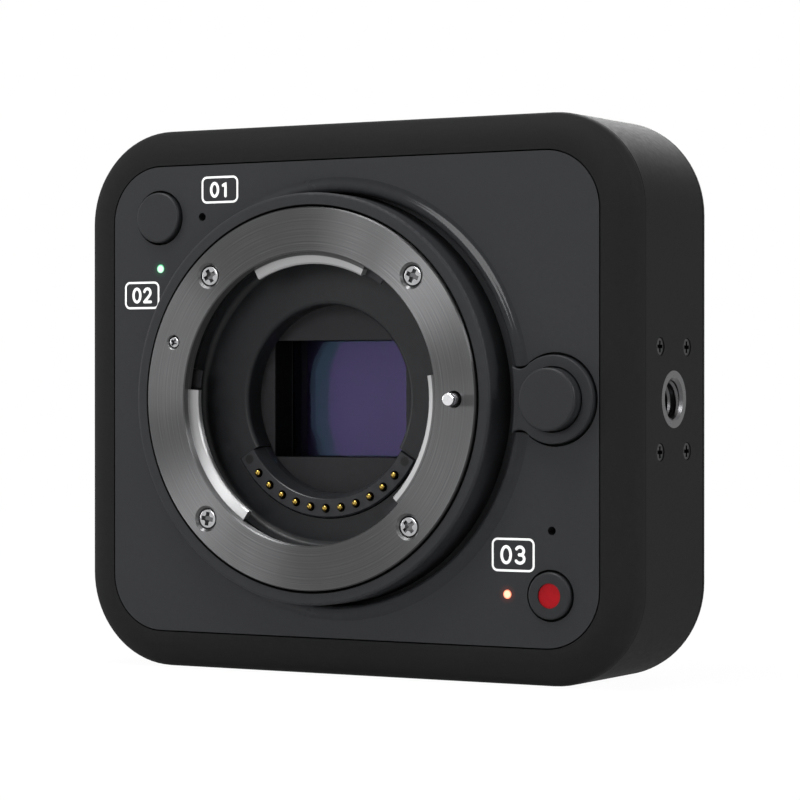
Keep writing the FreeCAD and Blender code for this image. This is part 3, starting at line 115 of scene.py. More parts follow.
class Graph:
    """A material's node graph, with short calls for the nodes it is made of."""

    def __init__(self, name):
        self.material = bpy.data.materials.new(name)
        self.material.use_nodes = True
        self.tree = self.material.node_tree
        self.shader = self.tree.nodes["Principled BSDF"]
        self.place = self.add("ShaderNodeTexCoord").outputs["Object"]

    def add(self, kind, **settings):
        node = self.tree.nodes.new(kind)
        for key, value in settings.items():
            setattr(node, key, value)
        return node

    def put(self, socket, value):
        """Links a socket, or sets it to a number, a colour or a vector."""
        if isinstance(value, bpy.types.NodeSocket):
            self.tree.links.new(value, socket)
        elif hasattr(socket.default_value, "__len__") and not hasattr(value, "__len__"):
            socket.default_value = (value,) * len(socket.default_value)
        elif hasattr(value, "__len__") and len(value) == 3 and len(socket.default_value) == 4:
            socket.default_value = (*value, 1.0)
        else:
            socket.default_value = value

    def math(self, operation, a, b=0.0):
        node = self.add("ShaderNodeMath", operation=operation)
        self.put(node.inputs[0], a)
        self.put(node.inputs[1], b)
        return node.outputs[0]

    def noise(self, scale, detail=2.0, vector=None):
        node = self.add("ShaderNodeTexNoise")
        self.put(node.inputs["Vector"], vector or self.place)
        self.put(node.inputs["Scale"], scale)
        self.put(node.inputs["Detail"], detail)
        return node.outputs["Fac"]

    def span(self, value, low, high, to_low=0.0, to_high=1.0):
        node = self.add("ShaderNodeMapRange")
        for socket, number in zip(node.inputs, (value, low, high, to_low, to_high)):
            self.put(socket, number)
        return node.outputs["Result"]

    def mask(self, value, edge, base=0.0):
        """0 and 1 at the edge's two distances from a base."""
        return self.span(value, base + edge[0], base + edge[1])

    def both(self, a, b):
        """Where two masks hold together."""
        return self.math("MULTIPLY", a, b)

    def mix(self, factor, a, b):
        node = self.add("ShaderNodeMix", data_type="RGBA")
        self.put(node.inputs["Factor"], factor)
        self.put(node.inputs[6], a)
        self.put(node.inputs[7], b)
        return node.outputs[2]

    def parts(self):
        """The object-space place as three separate numbers, in metres."""
        node = self.add("ShaderNodeSeparateXYZ")
        self.put(node.inputs[0], self.place)
        return node.outputs

    def radius(self, x=0.0, z=0.0):
        """Distance from a line along Y, in millimetres."""
        at = self.parts()
        dx = self.math("SUBTRACT", self.math("MULTIPLY", at[0], 1000.0), x)
        dz = self.math("SUBTRACT", self.math("MULTIPLY", at[2], 1000.0), z)
        return self.length(dx, dz)

    def length(self, a, b):
        """Root of the sum of two squares."""
        squares = self.math("MULTIPLY", a, a), self.math("MULTIPLY", b, b)
        return self.math("SQRT", self.math("ADD", *squares))

    def depth(self):
        """Distance behind the ring's face, in millimetres."""
        return self.math("MULTIPLY", self.parts()[1], 1000.0)

    def inside(self, low, high, axes, reach, edge):
        """1 within a box that reaches further by so much along each axis, fading to 0 over its edge."""
        at = self.parts()
        share = 1.0
        for axis, more in zip(axes, reach):
            middle, half = (low[axis] + high[axis]) / 2, (high[axis] - low[axis]) / 2 + more
            off = self.math("ABSOLUTE", self.math("SUBTRACT", at[axis], middle))
            share = self.both(self.span(off, half, half - edge), share)
        return share

    def from_contact(self):
        """Distance from the nearest contact's axis, in millimetres."""
        at = self.parts()
        angle = self.math("ARCTAN2", at[0], self.math("MULTIPLY", at[2], -1.0))
        share = self.math("FRACT", self.math("ADD", self.math("DIVIDE", angle, CONTACT_PITCH), 20.5))
        along = self.math("MULTIPLY", self.math("SUBTRACT", share, 0.5), CONTACT_PITCH * CONTACT_ROW)
        across = self.math("SUBTRACT", self.radius(), CONTACT_ROW)
        return self.length(along, across)

    def bump(self, height, distance):
        node = self.add("ShaderNodeBump")
        self.put(node.inputs["Height"], height)
        self.put(node.inputs["Distance"], distance)
        self.put(self.shader.inputs["Normal"], node.outputs["Normal"])

    def round_off(self, r, where):
        """Turns the shading round the bead into one soft crest, past the facets of its mesh."""
        rise = self.add("ShaderNodeMapRange", interpolation_type="SMOOTHSTEP")
        off = self.math("ABSOLUTE", self.math("SUBTRACT", r, CREST_RADIUS))
        for socket, number in zip(rise.inputs, (off, CREST_REACH, 0.0, 0.0, CREST_SLOPE)):
            self.put(socket, number)
        slope = self.math("DIVIDE", rise.outputs["Result"], r)
        at = self.parts()
        out = self.add("ShaderNodeCombineXYZ")
        for axis, centre in zip((0, 2), BEAD_CENTRE):
            away = self.math("SUBTRACT", self.math("MULTIPLY", at[axis], 1000.0), centre)
            self.put(out.inputs[axis], self.math("MULTIPLY", away, slope))
        self.put(out.inputs[1], -1.0)
        smooth = self.add("ShaderNodeVectorMath", operation="NORMALIZE")
        self.put(smooth.inputs[0], out.outputs[0])
        both = self.add("ShaderNodeMix", data_type="VECTOR")
        self.put(both.inputs["Factor"], where)
        self.put(both.inputs[4], self.shader.inputs["Normal"].links[0].from_socket)
        self.put(both.inputs[5], smooth.outputs[0])
        self.put(self.shader.inputs["Normal"], both.outputs[1])

    def shade(self, **values):
        """Sets the shader's sockets: words such as base_color for Base Color."""
        names = {"ior": "IOR", "specular": "Specular IOR Level", "transmission": "Transmission Weight",
                 "tint": "Specular Tint"}
        for key, value in values.items():
            name = names.get(key, key.replace("_", " ").title())
            self.put(self.shader.inputs[name], value)
        return self.material


def scaled(color, factor):
    return tuple(channel * factor for channel in color)


def satin(g, color, roughness):
    """Colour and roughness of fine-grained satin paint, with its bump."""
    fine = g.noise(1400.0, 3.0)
    broad = g.noise(60.0, 3.0)
    shade = g.mix(broad, scaled(color, 0.88), scaled(color, 1.12))
    shade = g.mix(g.span(fine, 0.35, 0.65), scaled(color, 0.9), shade)
    g.bump(fine, 0.012 * MM)
    return shade, g.span(fine, 0.3, 0.7, roughness - 0.05, roughness + 0.05)


def moulded(g, color, roughness):
    """Colour and roughness of moulded plastic, with its grain."""
    fine = g.noise(900.0, 4.0)
    g.bump(fine, 0.01 * MM)
    return (g.mix(fine, scaled(color, 0.8), scaled(color, 1.2)),
            g.span(fine, 0.3, 0.7, roughness - 0.06, roughness + 0.06))


def marked(g, marks, color, roughness, spread, depth):
    """Colour and roughness of bare metal that is marked by a noise, with its bump."""
    g.bump(marks, depth)
    return (g.mix(marks, scaled(color, 1 - spread), scaled(color, 1 + spread)),
            g.span(marks, 0.3, 0.7, roughness * 0.8, roughness * 1.2))


def paint(name, color, roughness, specular):
    g = Graph(name)
    shade, rough = satin(g, color, roughness)
    return g.shade(base_color=shade, roughness=rough, specular=specular)


def plastic(name, color, roughness, specular=0.4):
    g = Graph(name)
    shade, rough = moulded(g, color, roughness)
    return g.shade(base_color=shade, roughness=rough, specular=specular)


def metal(name, color, roughness):
    """Machined metal with small tool marks along Y."""
    g = Graph(name)
    stretched = g.add("ShaderNodeMapping")
    g.put(stretched.inputs["Vector"], g.place)
    g.put(stretched.inputs["Scale"], (1.0, 0.15, 1.0))
    marks = g.noise(2400.0, 3.0, stretched.outputs[0])
    shade, rough = marked(g, marks, color, roughness, 0.1, 0.004 * MM)
    return g.shade(base_color=shade, metallic=1.0, roughness=rough)


def window_metal(name, color, roughness):
    """Bare metal, blackened round the sensor's window."""
    g = Graph(name)
    black = g.inside(*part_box("filter_glass"), (0, 1, 2), (0.8 * MM, 6.0 * MM, 0.8 * MM), 0.2 * MM)
    shade, rough = marked(g, g.noise(2400.0, 3.0), color, roughness, 0.1, 0.004 * MM)
    return g.shade(base_color=g.mix(black, shade, (0.0, 0.0, 0.0)), metallic=1.0, roughness=rough)


def turned_ring(name, color, claw_color):
    """Turned steel with concentric lines and painted shade on its outer rim, and polished claws inside
    it with a painted shadow along their outer edge.
    """
    g = Graph(name)
    r = g.radius()
    lines = g.add("ShaderNodeTexNoise", noise_dimensions="1D")
    g.put(lines.inputs["W"], r)
    g.put(lines.inputs["Scale"], 4.5)
    g.put(lines.inputs["Detail"], 4.0)
    grooves = lines.outputs["Fac"]
    blotches = g.noise(160.0, 4.0)
    # Painted shadow: the claws keep the steel's colour along their outer edge, in a band that widens
    # towards the right
    to_right = g.math("DIVIDE", g.math("MULTIPLY", g.parts()[0], 1000.0), r)
    shadow_reach = g.math("ADD", r, g.math("MULTIPLY", to_right, 0.5))
    claw = g.both(g.mask(shadow_reach, CLAW_SHADOW, BORE_RADIUS), g.mask(g.depth(), CLAW_FACE, CLAW_DEPTH))
    steel = g.mix(g.span(grooves, 0.35, 0.65), scaled(color, 0.76), scaled(color, 1.24))
    steel = g.mix(g.span(blotches, 0.3, 0.7), scaled(color, 0.92), steel)
    # Painted shade: the outer rim is darker, which dims its highlight
    steel = g.mix(g.mask(r, RING_RIM_SHADE, RING_RADIUS), steel, scaled(color, 0.5))
    g.bump(grooves, 0.006 * MM)
    turned = g.add("ShaderNodeTangent", direction_type="RADIAL", axis="Y")
    g.put(g.shader.inputs["Tangent"], turned.outputs[0])
    return g.shade(base_color=g.mix(claw, steel, claw_color), metallic=1.0,
                   roughness=g.span(claw, 0.0, 1.0, 0.36, 0.3), anisotropic=1.0,
                   anisotropic_rotation=0.25)


def sunk_screws(name, color, roughness):
    """Bright screw heads in the ring, with painted shade inside their crosses."""
    g = Graph(name)
    depth = g.depth()
    cross = g.both(g.mask(depth, CROSS_TOP, SCREW_FACE), g.mask(depth, CROSS_FLOOR, SCREW_FACE))
    bright, rough = marked(g, g.noise(1500.0, 3.0), color, roughness, 0.15, 0.01 * MM)
    # Painted shade: darker inside the crosses
    return g.shade(base_color=g.mix(cross, bright, scaled(color, 0.35)), metallic=1.0, roughness=rough)


def contact_metal(name):
    """Gold contacts, with a painted dark reflection as a ring round the middle of each tip, and painted
    shade round each tip's edge.
    """
    g = Graph(name)
    r = g.from_contact()
    marks = g.noise(2500.0, 2.0)
    # Painted reflection: a dark ring round the middle of each tip
    dark = g.both(g.mask(r, TIP_REFLECTION_INSIDE), g.mask(r, TIP_REFLECTION_OUTSIDE))
    gold = g.mix(marks, (0.42, 0.27, 0.05), (0.55, 0.38, 0.1))
    # Painted shade: darker round the edge of each tip, where it meets its hole
    gold = g.mix(g.mask(r, TIP_EDGE_SHADE), gold, (0.1, 0.06, 0.01))
    g.bump(marks, 0.006 * MM)
    return g.shade(base_color=g.mix(dark, gold, (0.09, 0.06, 0.012)), metallic=1.0, roughness=0.22)


def contact_block_plastic(name, color, roughness, specular):
    """Black plastic, with painted shade that makes it blackest in the mouths of the contacts' holes."""
    g = Graph(name)
    # Painted shade: the mouths of the holes are darker
    mouth = g.mask(g.from_contact(), HOLE_SHADE)
    shade, rough = moulded(g, color, roughness)
    return g.shade(base_color=g.mix(mouth, shade, scaled(color, 0.05)), roughness=rough,
                   specular=specular)


def shield_plastic(name, color, roughness, specular):
    """Matte black plastic, with painted shade that makes it blackest on the walls of the shaft."""
    g = Graph(name)
    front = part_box("light_shield")[0].y / MM
    # Painted shade: the walls of the shaft are darker
    shaft = g.mask(g.depth(), SHAFT_SHADE, front)
    shade, rough = moulded(g, color, roughness)
    return g.shade(base_color=g.mix(shaft, shade, scaled(color, 0.1)), roughness=rough,
                   specular=specular)


def coated_glass(name, tint, node):
    """Coated filter glass with blackened edges."""
    g = Graph(name)
    clear = g.inside(*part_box(node), (0, 2), (-0.1 * MM, -0.1 * MM), 0.1 * MM)
    smear = g.noise(90.0, 2.0)
    return g.shade(base_color=g.mix(clear, (0.0, 0.0, 0.0), (0.97, 0.97, 0.97)),
                   roughness=g.span(smear, 0.3, 0.7, 0.0, 0.012),
                   ior=1.35, transmission=1.0, tint=tint)


def glow(name, core, rim, at):
    """Lit end of a light pipe: pale in the middle, coloured at its rim."""
    g = Graph(name)
    lit = g.mix(g.mask(g.radius(*at), LIGHT_RIM), core, rim)
    speck = g.noise(2500.0)
    return g.shade(base_color=g.mix(speck, scaled(rim, 0.5), rim), roughness=0.4,
                   emission_color=lit, emission_strength=1.0)


def front_panel_paint(name, color, roughness, specular):
    """Satin paint with the two lights' faint glow painted on it as emission, and black as painted shade
    in the seam round the ring.
    """
    g = Graph(name)
    shade, rough = satin(g, color, roughness)
    r = g.radius(*BEAD_CENTRE)
    bead = g.both(g.mask(r, BEAD_INSIDE, BEAD_RADIUS), g.mask(r, BEAD_OUTSIDE, BEAD_RADIUS))
    bead = g.both(bead, g.mask(g.depth(), BEAD_BACK, PLATE_Y))
    bead = g.both(bead, g.mask(g.math("MULTIPLY", g.parts()[0], 1000.0), BEAD_RIGHT))
    g.round_off(r, bead)
    # Painted shade: black, with no reflection, in the seam round the ring
    seam = g.mask(g.radius(), SEAM_SHADE, RING_RADIUS)
    # Painted glow: the two lights' glow on the panel, as the paint's own emission
    near_status = g.mask(g.radius(*STATUS_LIGHT), GLOW_REACH)
    near_record = g.mask(g.radius(*RECORD_LIGHT), GLOW_REACH)
    painted_glow = g.mix(near_status, (0, 0, 0), (0.0, 0.03, 0.013))
    painted_glow = g.mix(near_record, painted_glow, (0.05, 0.004, 0.003))
    return g.shade(base_color=g.mix(seam, shade, (0.0, 0.0, 0.0)), metallic=seam,
                   roughness=g.math("MULTIPLY", rough, g.span(bead, 0.0, 1.0, 1.0, 0.2)),
                   specular=specular, emission_color=painted_glow, emission_strength=1.0)


def circuit_board(name):
    """Green board with a pattern of tracks."""
    g = Graph(name)
    tracks = g.add("ShaderNodeTexBrick")
    g.put(tracks.inputs["Vector"], g.place)
    g.put(tracks.inputs["Scale"], 320.0)
    g.put(tracks.inputs["Mortar Size"], 0.03)
    g.put(tracks.inputs["Color1"], (0.012, 0.05, 0.028))
    g.put(tracks.inputs["Color2"], (0.014, 0.06, 0.032))
    g.put(tracks.inputs["Mortar"], (0.03, 0.12, 0.06))
    return g.shade(base_color=tracks.outputs["Color"], roughness=0.35, specular=0.5)


def sensor_face(name):
    """Dark ceramic package, with the purple sensor in its well."""
    g = Graph(name)
    depth = g.depth()
    in_well = g.both(g.mask(depth, WELL_ABOVE, SENSOR_FACE), g.mask(depth, WELL_BELOW, SENSOR_FACE))
    grid = g.add("ShaderNodeTexChecker")
    g.put(grid.inputs["Vector"], g.place)
    g.put(grid.inputs["Scale"], 5000.0)
    g.put(grid.inputs["Color1"], (0.02, 0.012, 0.045))
    g.put(grid.inputs["Color2"], (0.026, 0.014, 0.055))
    return g.shade(base_color=g.mix(in_well, (0.02, 0.02, 0.022), grid.outputs["Color"]),
                   roughness=0.3, specular=0.15)


def print_ink(name):
    """White print, slightly uneven."""
    g = Graph(name)
    speck = g.noise(3000.0, 2.0)
    return g.shade(base_color=g.mix(speck, (0.72, 0.72, 0.72), (0.82, 0.82, 0.82)), roughness=0.6)


# Colours of the painted parts, and the material of each slot
DARK = (0.0163, 0.017, 0.0187)
BLACK = (0.0175, 0.0175, 0.0178)
MATERIALS = {
    "body_paint": lambda n: paint(n, scaled(BLACK, 0.66), 0.62, 0.02),
    "front_paint": lambda n: front_panel_paint(n, DARK, 0.54, 0.12),
    "surround_paint": lambda n: paint(n, scaled(DARK, 0.95), 0.5, 0.12),
    "button_plastic": lambda n: paint(n, scaled(DARK, 0.75), 0.48, 0.15),
    "ring_steel": lambda n: turned_ring(n, (0.094, 0.094, 0.096), (0.38, 0.38, 0.385)),
    "ring_screws": lambda n: sunk_screws(n, (0.42, 0.42, 0.43), 0.16),
    "pin_steel": lambda n: metal(n, (0.72, 0.72, 0.74), 0.16),
    "spring_steel": lambda n: metal(n, (0.025, 0.025, 0.027), 0.4),
    "steel_screws": lambda n: metal(n, (0.45, 0.45, 0.46), 0.3),
    "black_screws": lambda n: metal(n, (0.02, 0.02, 0.021), 0.4),
    "socket_steel": lambda n: metal(n, (0.085, 0.085, 0.088), 0.32),
    "bare_metal": lambda n: window_metal(n, (0.5, 0.5, 0.52), 0.35),
    "black_plastic": lambda n: plastic(n, (0.0085, 0.009, 0.01), 0.42, 0.17),
    "contact_plastic": lambda n: contact_block_plastic(n, (0.0125, 0.013, 0.015), 0.36, 0.22),
    "contact_gold": contact_metal,
    "flex_film": lambda n: plastic(n, (0.12, 0.05, 0.015), 0.35),
    "matte_shield": lambda n: shield_plastic(n, (0.019, 0.019, 0.0205), 0.6, 0.06),
    "black_rubber": lambda n: plastic(n, (0.01, 0.01, 0.01), 0.7, 0.2),
    "filter_glass": lambda n: coated_glass(n, (0.32, 0.66, 1.0), "filter_glass"),
    "sensor_glass": lambda n: coated_glass(n, (0.55, 0.02, 1.0), "sensor_cover_glass"),
    "sensor_package": sensor_face,
    "circuit_board": circuit_board,
    "connector_plastic": lambda n: plastic(n, (0.5, 0.46, 0.36), 0.45),
    "chip_black": lambda n: plastic(n, (0.02, 0.02, 0.02), 0.4),
    "record_red": lambda n: plastic(n, (0.24, 0.0035, 0.007), 0.38, 0.08),
    "switch_plastic": lambda n: plastic(n, (0.03, 0.03, 0.03), 0.5),
    "led_body": lambda n: plastic(n, (0.7, 0.7, 0.62), 0.4),
    "status_light": lambda n: glow(n, (0.87, 1.0, 0.9), (0.02, 0.3, 0.12), STATUS_LIGHT),
    "record_light": lambda n: glow(n, (1.0, 0.8, 0.56), (0.6, 0.1, 0.03), RECORD_LIGHT),
    "microphone_metal": lambda n: metal(n, (0.5, 0.5, 0.5), 0.35),
    "port_metal": lambda n: metal(n, (0.35, 0.35, 0.36), 0.3),
    "jack_plastic": lambda n: plastic(n, (0.012, 0.012, 0.012), 0.35),
}
made = {slot: build(slot) for slot, build in MATERIALS.items()}


def wear(obj, material):
    obj.data.materials.clear()
    obj.data.materials.append(material)


for name, obj in nodes.items():
    wear(obj, made[slot_of[name]])


def piece(name, bm, material, body=BODY):
    """Finishes a mesh piece: links it, gives it a material and lets it ride on a body."""
    mesh = bpy.data.meshes.new(name)
    bm.to_mesh(mesh)
    bm.free()
    obj = bpy.data.objects.new(name, mesh)
    bpy.context.scene.collection.objects.link(obj)
    wear(obj, material)
    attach(obj, body)
    return obj


# Print on the front panel: frames with plain numerals, in millimetres
PRINT_Y = PLATE_Y - 0.012
PRINT_STEP = 0.005
FRAME_STROKE = 0.3
FRAME_CORNER = 0.75
DIGIT_STROKE = 0.42
DIGIT_SHARE = 0.3           # a digit's cell to the frame's height
DIGIT_PITCH = 1.55
END_STEPS = 8


def arc_points(cx, cz, rx, rz, start, end, count=14):
    """Points along an arc of an ellipse, from one angle in degrees to another."""
    return [(cx + rx * math.cos(math.radians(start + (end - start) * i / count)),
             cz + rz * math.sin(math.radians(start + (end - start) * i / count)))
            for i in range(count + 1)]


def rounded_frame(width, height, r):
    """Outline of a rectangle with round corners, round its middle."""
    w, h = width / 2 - r, height / 2 - r
    points = []
    for cx, cz, start in ((w, h, 0), (-w, h, 90), (-w, -h, 180), (w, -h, 270)):
        points += arc_points(cx, cz, r, r, start, start + 90, 8)
    return points


# Centre lines of the numerals in a cell 1 wide and 1.6 high, round its middle
NUMERALS = {
    "0": ([arc_points(0, 0, 0.5, 0.8, 0, 360, 36)[:-1]], True),
    "1": ([[(-0.3, 0.5), (-0.12, 0.62), (0.05, 0.8), (0.05, 0.4), (0.05, -0.4), (0.05, -0.8)]], False),
    "2": ([arc_points(0, 0.33, 0.45, 0.47, 165, -30) + [(0.1, -0.25), (-0.45, -0.8)],
           [(-0.45, -0.8), (0.0, -0.8), (0.5, -0.8)]], False),
    "3": ([arc_points(-0.02, 0.4, 0.43, 0.4, 150, -100),
           arc_points(-0.02, -0.38, 0.48, 0.42, 100, -150)], False),
}


def add_stroke(bm, points, width, closed, layer=0):
    """Flat line of one width with round ends, on the panel. Crossing lines take a layer each."""
    flat = [Vector((x, z)) for x, z in points]
    count = len(flat)
    left, right = [], []
    for i, at in enumerate(flat):
        before = flat[i - 1] if closed or i else at
        after = flat[(i + 1) % count] if closed or i < count - 1 else at
        along = (after - before).normalized()
        across = Vector((-along.y, along.x)) * width / 2
        left.append(at + across)
        right.append(at - across)

    def vert(at):
        return bm.verts.new(Vector((at.x, PRINT_Y - layer * PRINT_STEP, at.y)) * MM)

    a = [vert(at) for at in left]
    b = [vert(at) for at in right]
    for i in range(count if closed else count - 1):
        j = (i + 1) % count
        bm.faces.new((a[i], a[j], b[j], b[i]))
    if closed:
        return
    for end, inner in ((0, 1), (count - 1, count - 2)):
        out = (flat[end] - flat[inner]).normalized()
        side = left[end] - flat[end]
        arc = [flat[end] + side * math.cos(t) + out * (width / 2) * math.sin(t)
               for t in (math.pi * k / END_STEPS for k in range(1, END_STEPS))]
        bm.faces.new([a[end]] + [vert(at) for at in arc] + [b[end]])


ink = print_ink("white_print")


def label(name, x0, x1, z0, z1, text):
    """Frame with numerals in it, as one printed piece on the panel."""
    bm = bmesh.new()
    cx, cz = (x0 + x1) / 2, (z0 + z1) / 2
    outline = rounded_frame(x1 - x0 - FRAME_STROKE, z1 - z0 - FRAME_STROKE, FRAME_CORNER)
    add_stroke(bm, [(cx + x, cz + z) for x, z in outline], FRAME_STROKE, True)
    size = (z1 - z0) * DIGIT_SHARE
    for i, digit in enumerate(text):
        strokes, closed = NUMERALS[digit]
        middle = cx + (i - (len(text) - 1) / 2) * size * DIGIT_PITCH
        for layer, points in enumerate(strokes):
            line = [(middle + x * size, cz + z * size) for x, z in points]
            add_stroke(bm, line, DIGIT_STROKE, closed, layer)
    bmesh.ops.recalc_face_normals(bm, faces=bm.faces)
    for face in bm.faces:
        if face.normal.y > 0:
            face.normal_flip()
    piece(name, bm, ink)


label("label_top", -19.9, -13.6, 28.2, 32.1, "01")
label("label_side", -33.4, -27.3, 13.1, 17.1, "02")
label("label_record", 27.7, 34.3, -23.5, -18.9, "03")


# Screw threads inside the two tripod sockets, in millimetres
SOCKET_RADIUS = 2.6
THREAD_PITCH = 1.27
THREAD_TURNS = 4.4
THREAD_START = 0.55
THREAD_HEIGHT = 0.26
THREAD_ROOT = 0.05          # how far the ridge's foot sinks into the wall
FOOT_HALF = 0.4
CREST_HALF = 0.06
THREAD_STEPS = 40
FADE_STEPS = 12


def thread(name, matrix):
    """Helical ridge in the socket's own frame: +Z is the way out of its mouth."""
    bm = bmesh.new()
    count = int(THREAD_TURNS * THREAD_STEPS)
    foot = SOCKET_RADIUS + THREAD_ROOT
    rows = []
    for i in range(count + 1):
        angle = 2 * math.pi * i / THREAD_STEPS
        z = -THREAD_START - THREAD_PITCH * i / THREAD_STEPS
        crest = SOCKET_RADIUS - THREAD_HEIGHT * min(1.0, i / FADE_STEPS, (count - i) / FADE_STEPS)
        profile = ((foot, FOOT_HALF), (crest, CREST_HALF), (crest, -CREST_HALF), (foot, -FOOT_HALF))
        x, y = math.cos(angle), math.sin(angle)
        rows.append([bm.verts.new(matrix @ Vector((r * x, r * y, z + dz)) * MM) for r, dz in profile])
    for row, after in zip(rows, rows[1:]):
        for k in range(len(row) - 1):
            bm.faces.new((row[k], row[k + 1], after[k + 1], after[k]))
    bmesh.ops.recalc_face_normals(bm, faces=bm.faces)
    piece(name, bm, made["socket_steel"])


side_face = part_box("side_tripod_socket")[1].x / MM
base_low, base_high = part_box("base_tripod_socket")
socket_y = (base_low.y + base_high.y) / 2 / MM
thread("side_socket_thread", Matrix.Translation((side_face, socket_y, 0))
       @ Matrix.Rotation(math.radians(90), 4, "Y"))
thread("base_socket_thread", Matrix.Translation((0, socket_y, base_low.z / MM))
       @ Matrix.Rotation(math.radians(180), 4, "X"))


# Release spring: a coil in place of the plain sleeve
COIL_WIRE = 0.2 * MM
COIL_TURNS = 3.5
COIL_STEPS = 24
WIRE_SIDES = 8


def coil(name, low, high):
    """Round wire wound along Y inside a box."""
    bm = bmesh.new()
    count = int(COIL_TURNS * COIL_STEPS)
    cx, cz = (low.x + high.x) / 2, (low.z + high.z) / 2
    mid = (high.x - low.x) / 2 - COIL_WIRE
    length = high.y - low.y - 2 * COIL_WIRE
    rings = []
    for i in range(count + 1):
        turn = 2 * math.pi * i / COIL_STEPS
        out = Vector((math.cos(turn), 0, math.sin(turn)))
        at = Vector((cx, low.y + COIL_WIRE + length * i / count, cz)) + out * mid
        rings.append([bm.verts.new(at + COIL_WIRE * (out * math.cos(a) + Vector((0, math.sin(a), 0))))
                      for a in (2 * math.pi * k / WIRE_SIDES for k in range(WIRE_SIDES))])
    for ring, after in zip(rings, rings[1:]):
        for k in range(WIRE_SIDES):
            nearby = (k + 1) % WIRE_SIDES
            bm.faces.new((ring[k], ring[nearby], after[nearby], after[k]))
    bm.faces.new(rings[0])
    bm.faces.new(rings[-1])
    bmesh.ops.recalc_face_normals(bm, faces=bm.faces)
    return piece(name, bm, made["spring_steel"])


low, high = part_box("release_spring")
spring = coil("release_coil", low, high)
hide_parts("release_spring")
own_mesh(spring)


# Floor and surroundings: both show white, and the floor keeps a soft shadow near the part
FLOOR_RADIUS = 6.0
FLOOR_GAP = 0.00002
FLOOR_COLOR = (0.75, 0.75, 0.75, 1)
WHITE_NEAR, WHITE_FAR = 0.97, 1.0       # how white the floor shows at these distances
NEAR, FAR = 0.1, 0.6
WORLD_LIGHT = 0.05


def seen_directly(tree):
    """1 for camera, glossy and transmission rays, else 0."""
    path = tree.nodes.new("ShaderNodeLightPath")
    value = path.outputs["Is Camera Ray"]
    for name in ("Is Glossy Ray", "Is Transmission Ray"):
        most = tree.nodes.new("ShaderNodeMath")
        most.operation = "MAXIMUM"
        tree.links.new(value, most.inputs[0])
        tree.links.new(path.outputs[name], most.inputs[1])
        value = most.outputs[0]
    return value


def floor_material():
    """Pale matte floor, which the camera and reflections see as nearly white light."""
    material = bpy.data.materials.new("floor")
    material.use_nodes = True
    tree = material.node_tree
    tree.nodes.remove(tree.nodes["Principled BSDF"])
    cloth = tree.nodes.new("ShaderNodeBsdfDiffuse")
    cloth.inputs["Color"].default_value = FLOOR_COLOR
    white = tree.nodes.new("ShaderNodeEmission")
    share = tree.nodes.new("ShaderNodeMath")
    share.operation = "MULTIPLY"
    place = tree.nodes.new("ShaderNodeTexCoord")
    away = tree.nodes.new("ShaderNodeVectorMath")
    away.operation = "LENGTH"
    fade = tree.nodes.new("ShaderNodeMapRange")
    for socket, number in zip(list(fade.inputs)[1:5], (NEAR, FAR, WHITE_NEAR, WHITE_FAR)):
        socket.default_value = number
    tree.links.new(place.outputs["Object"], away.inputs[0])
    tree.links.new(away.outputs["Value"], fade.inputs["Value"])
    tree.links.new(fade.outputs["Result"], share.inputs[1])
    tree.links.new(seen_directly(tree), share.inputs[0])
    blend = tree.nodes.new("ShaderNodeMixShader")
    tree.links.new(share.outputs[0], blend.inputs[0])
    tree.links.new(cloth.outputs[0], blend.inputs[1])
    tree.links.new(white.outputs[0], blend.inputs[2])
    tree.links.new(blend.outputs[0], tree.nodes["Material Output"].inputs[0])
    return material


bpy.ops.mesh.primitive_circle_add(vertices=96, radius=FLOOR_RADIUS, fill_type="NGON",
                                  location=(0, 0, cad_box[0].z - FLOOR_GAP))
floor = bpy.context.object
floor.name = "floor"
wear(floor, floor_material())

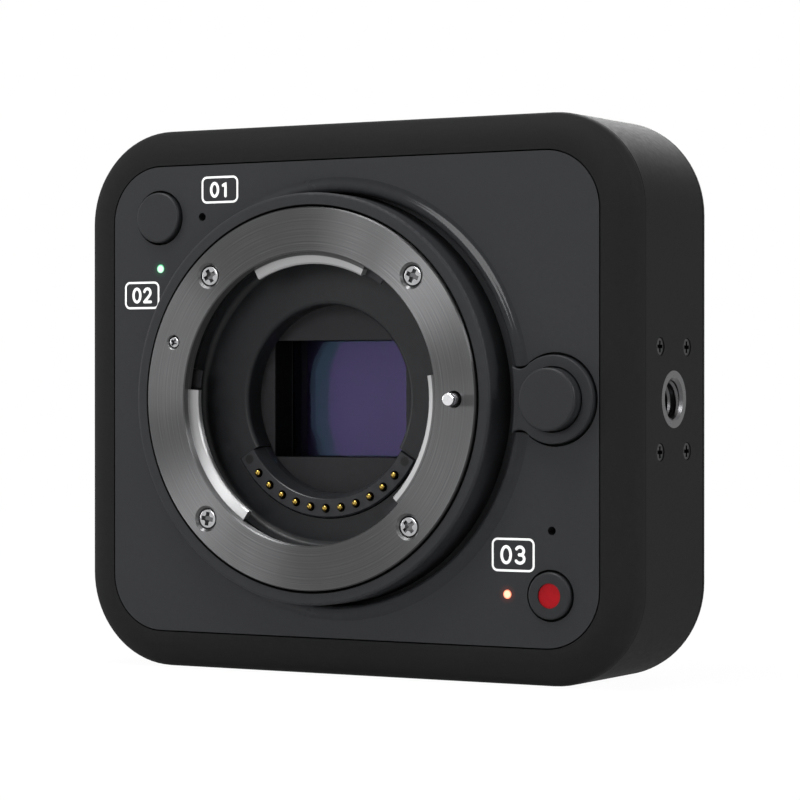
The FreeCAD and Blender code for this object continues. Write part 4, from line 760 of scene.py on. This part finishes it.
world = bpy.data.worlds.new("studio")
bpy.context.scene.world = world
world.use_nodes = True
tree = world.node_tree
tree.nodes["Background"].inputs["Color"].default_value = (1, 1, 1, 1)
tree.nodes["Background"].inputs["Strength"].default_value = WORLD_LIGHT
backdrop = tree.nodes.new("ShaderNodeBackground")
backdrop.inputs["Color"].default_value = (1, 1, 1, 1)
backdrop.inputs["Strength"].default_value = 1.0
blend = tree.nodes.new("ShaderNodeMixShader")
tree.links.new(seen_directly(tree), blend.inputs[0])
tree.links.new(tree.nodes["Background"].outputs[0], blend.inputs[1])
tree.links.new(backdrop.outputs[0], blend.inputs[2])
tree.links.new(blend.outputs[0], tree.nodes["World Output"].inputs[0])


# Lamps: place, width and height in metres, and power in watts. All point at the middle of the ring
LAMPS = {
    "front": ((-0.06, -0.59, 0.25), (0.22, 0.25), 2.1),
    "left": ((-0.62, -0.31, 0.1), (0.22, 0.25), 1.4),
    "top": ((0.0, -0.1, 0.65), (0.22, 0.25), 2.3),
    "top_left": ((-0.15, -0.2, 0.6), (0.22, 0.25), 3.2),
    "right": ((0.7, 0.0, 0.35), (0.22, 0.25), 4.8),
    "back": ((-0.1, 0.6, 0.35), (0.3, 0.3), 4.0),
}


def area_light(name, place, size, power):
    data = bpy.data.lights.new(name, "AREA")
    data.shape = "RECTANGLE"
    data.size, data.size_y = size
    data.energy = power
    light = bpy.data.objects.new(name, data)
    light.location = place
    light.rotation_mode = "QUATERNION"
    light.rotation_quaternion = (-Vector(place)).to_track_quat("-Z", "Y")
    bpy.context.scene.collection.objects.link(light)


for name, (place, size, power) in LAMPS.items():
    area_light(name, place, size, power)

# Camera at the photograph's place, for a square frame: angles, and millimetres in its own axes
AZIMUTH, ELEVATION = math.radians(29.91), math.radians(0.226)
CAMERA_RIGHT, CAMERA_UP, CAMERA_BACK = 13.195, -0.139, 421.25
right = Vector((math.cos(AZIMUTH), math.sin(AZIMUTH), 0))
forward = Vector((-math.sin(AZIMUTH) * math.cos(ELEVATION), math.cos(AZIMUTH) * math.cos(ELEVATION),
                  -math.sin(ELEVATION)))
up = right.cross(forward)
camera = bpy.data.objects.new("camera", bpy.data.cameras.new("camera"))
bpy.context.scene.collection.objects.link(camera)
camera.data.sensor_width = 36.0
camera.data.lens = 135.0
camera.data.clip_start = 0.05
camera.data.clip_end = 50.0
camera.location = (right * CAMERA_RIGHT + up * CAMERA_UP - forward * CAMERA_BACK) * MM
camera.rotation_mode = "QUATERNION"
camera.rotation_quaternion = forward.to_track_quat("-Z", "Y")
bpy.context.scene.camera = camera
bpy.context.scene.view_settings.view_transform = "Standard"
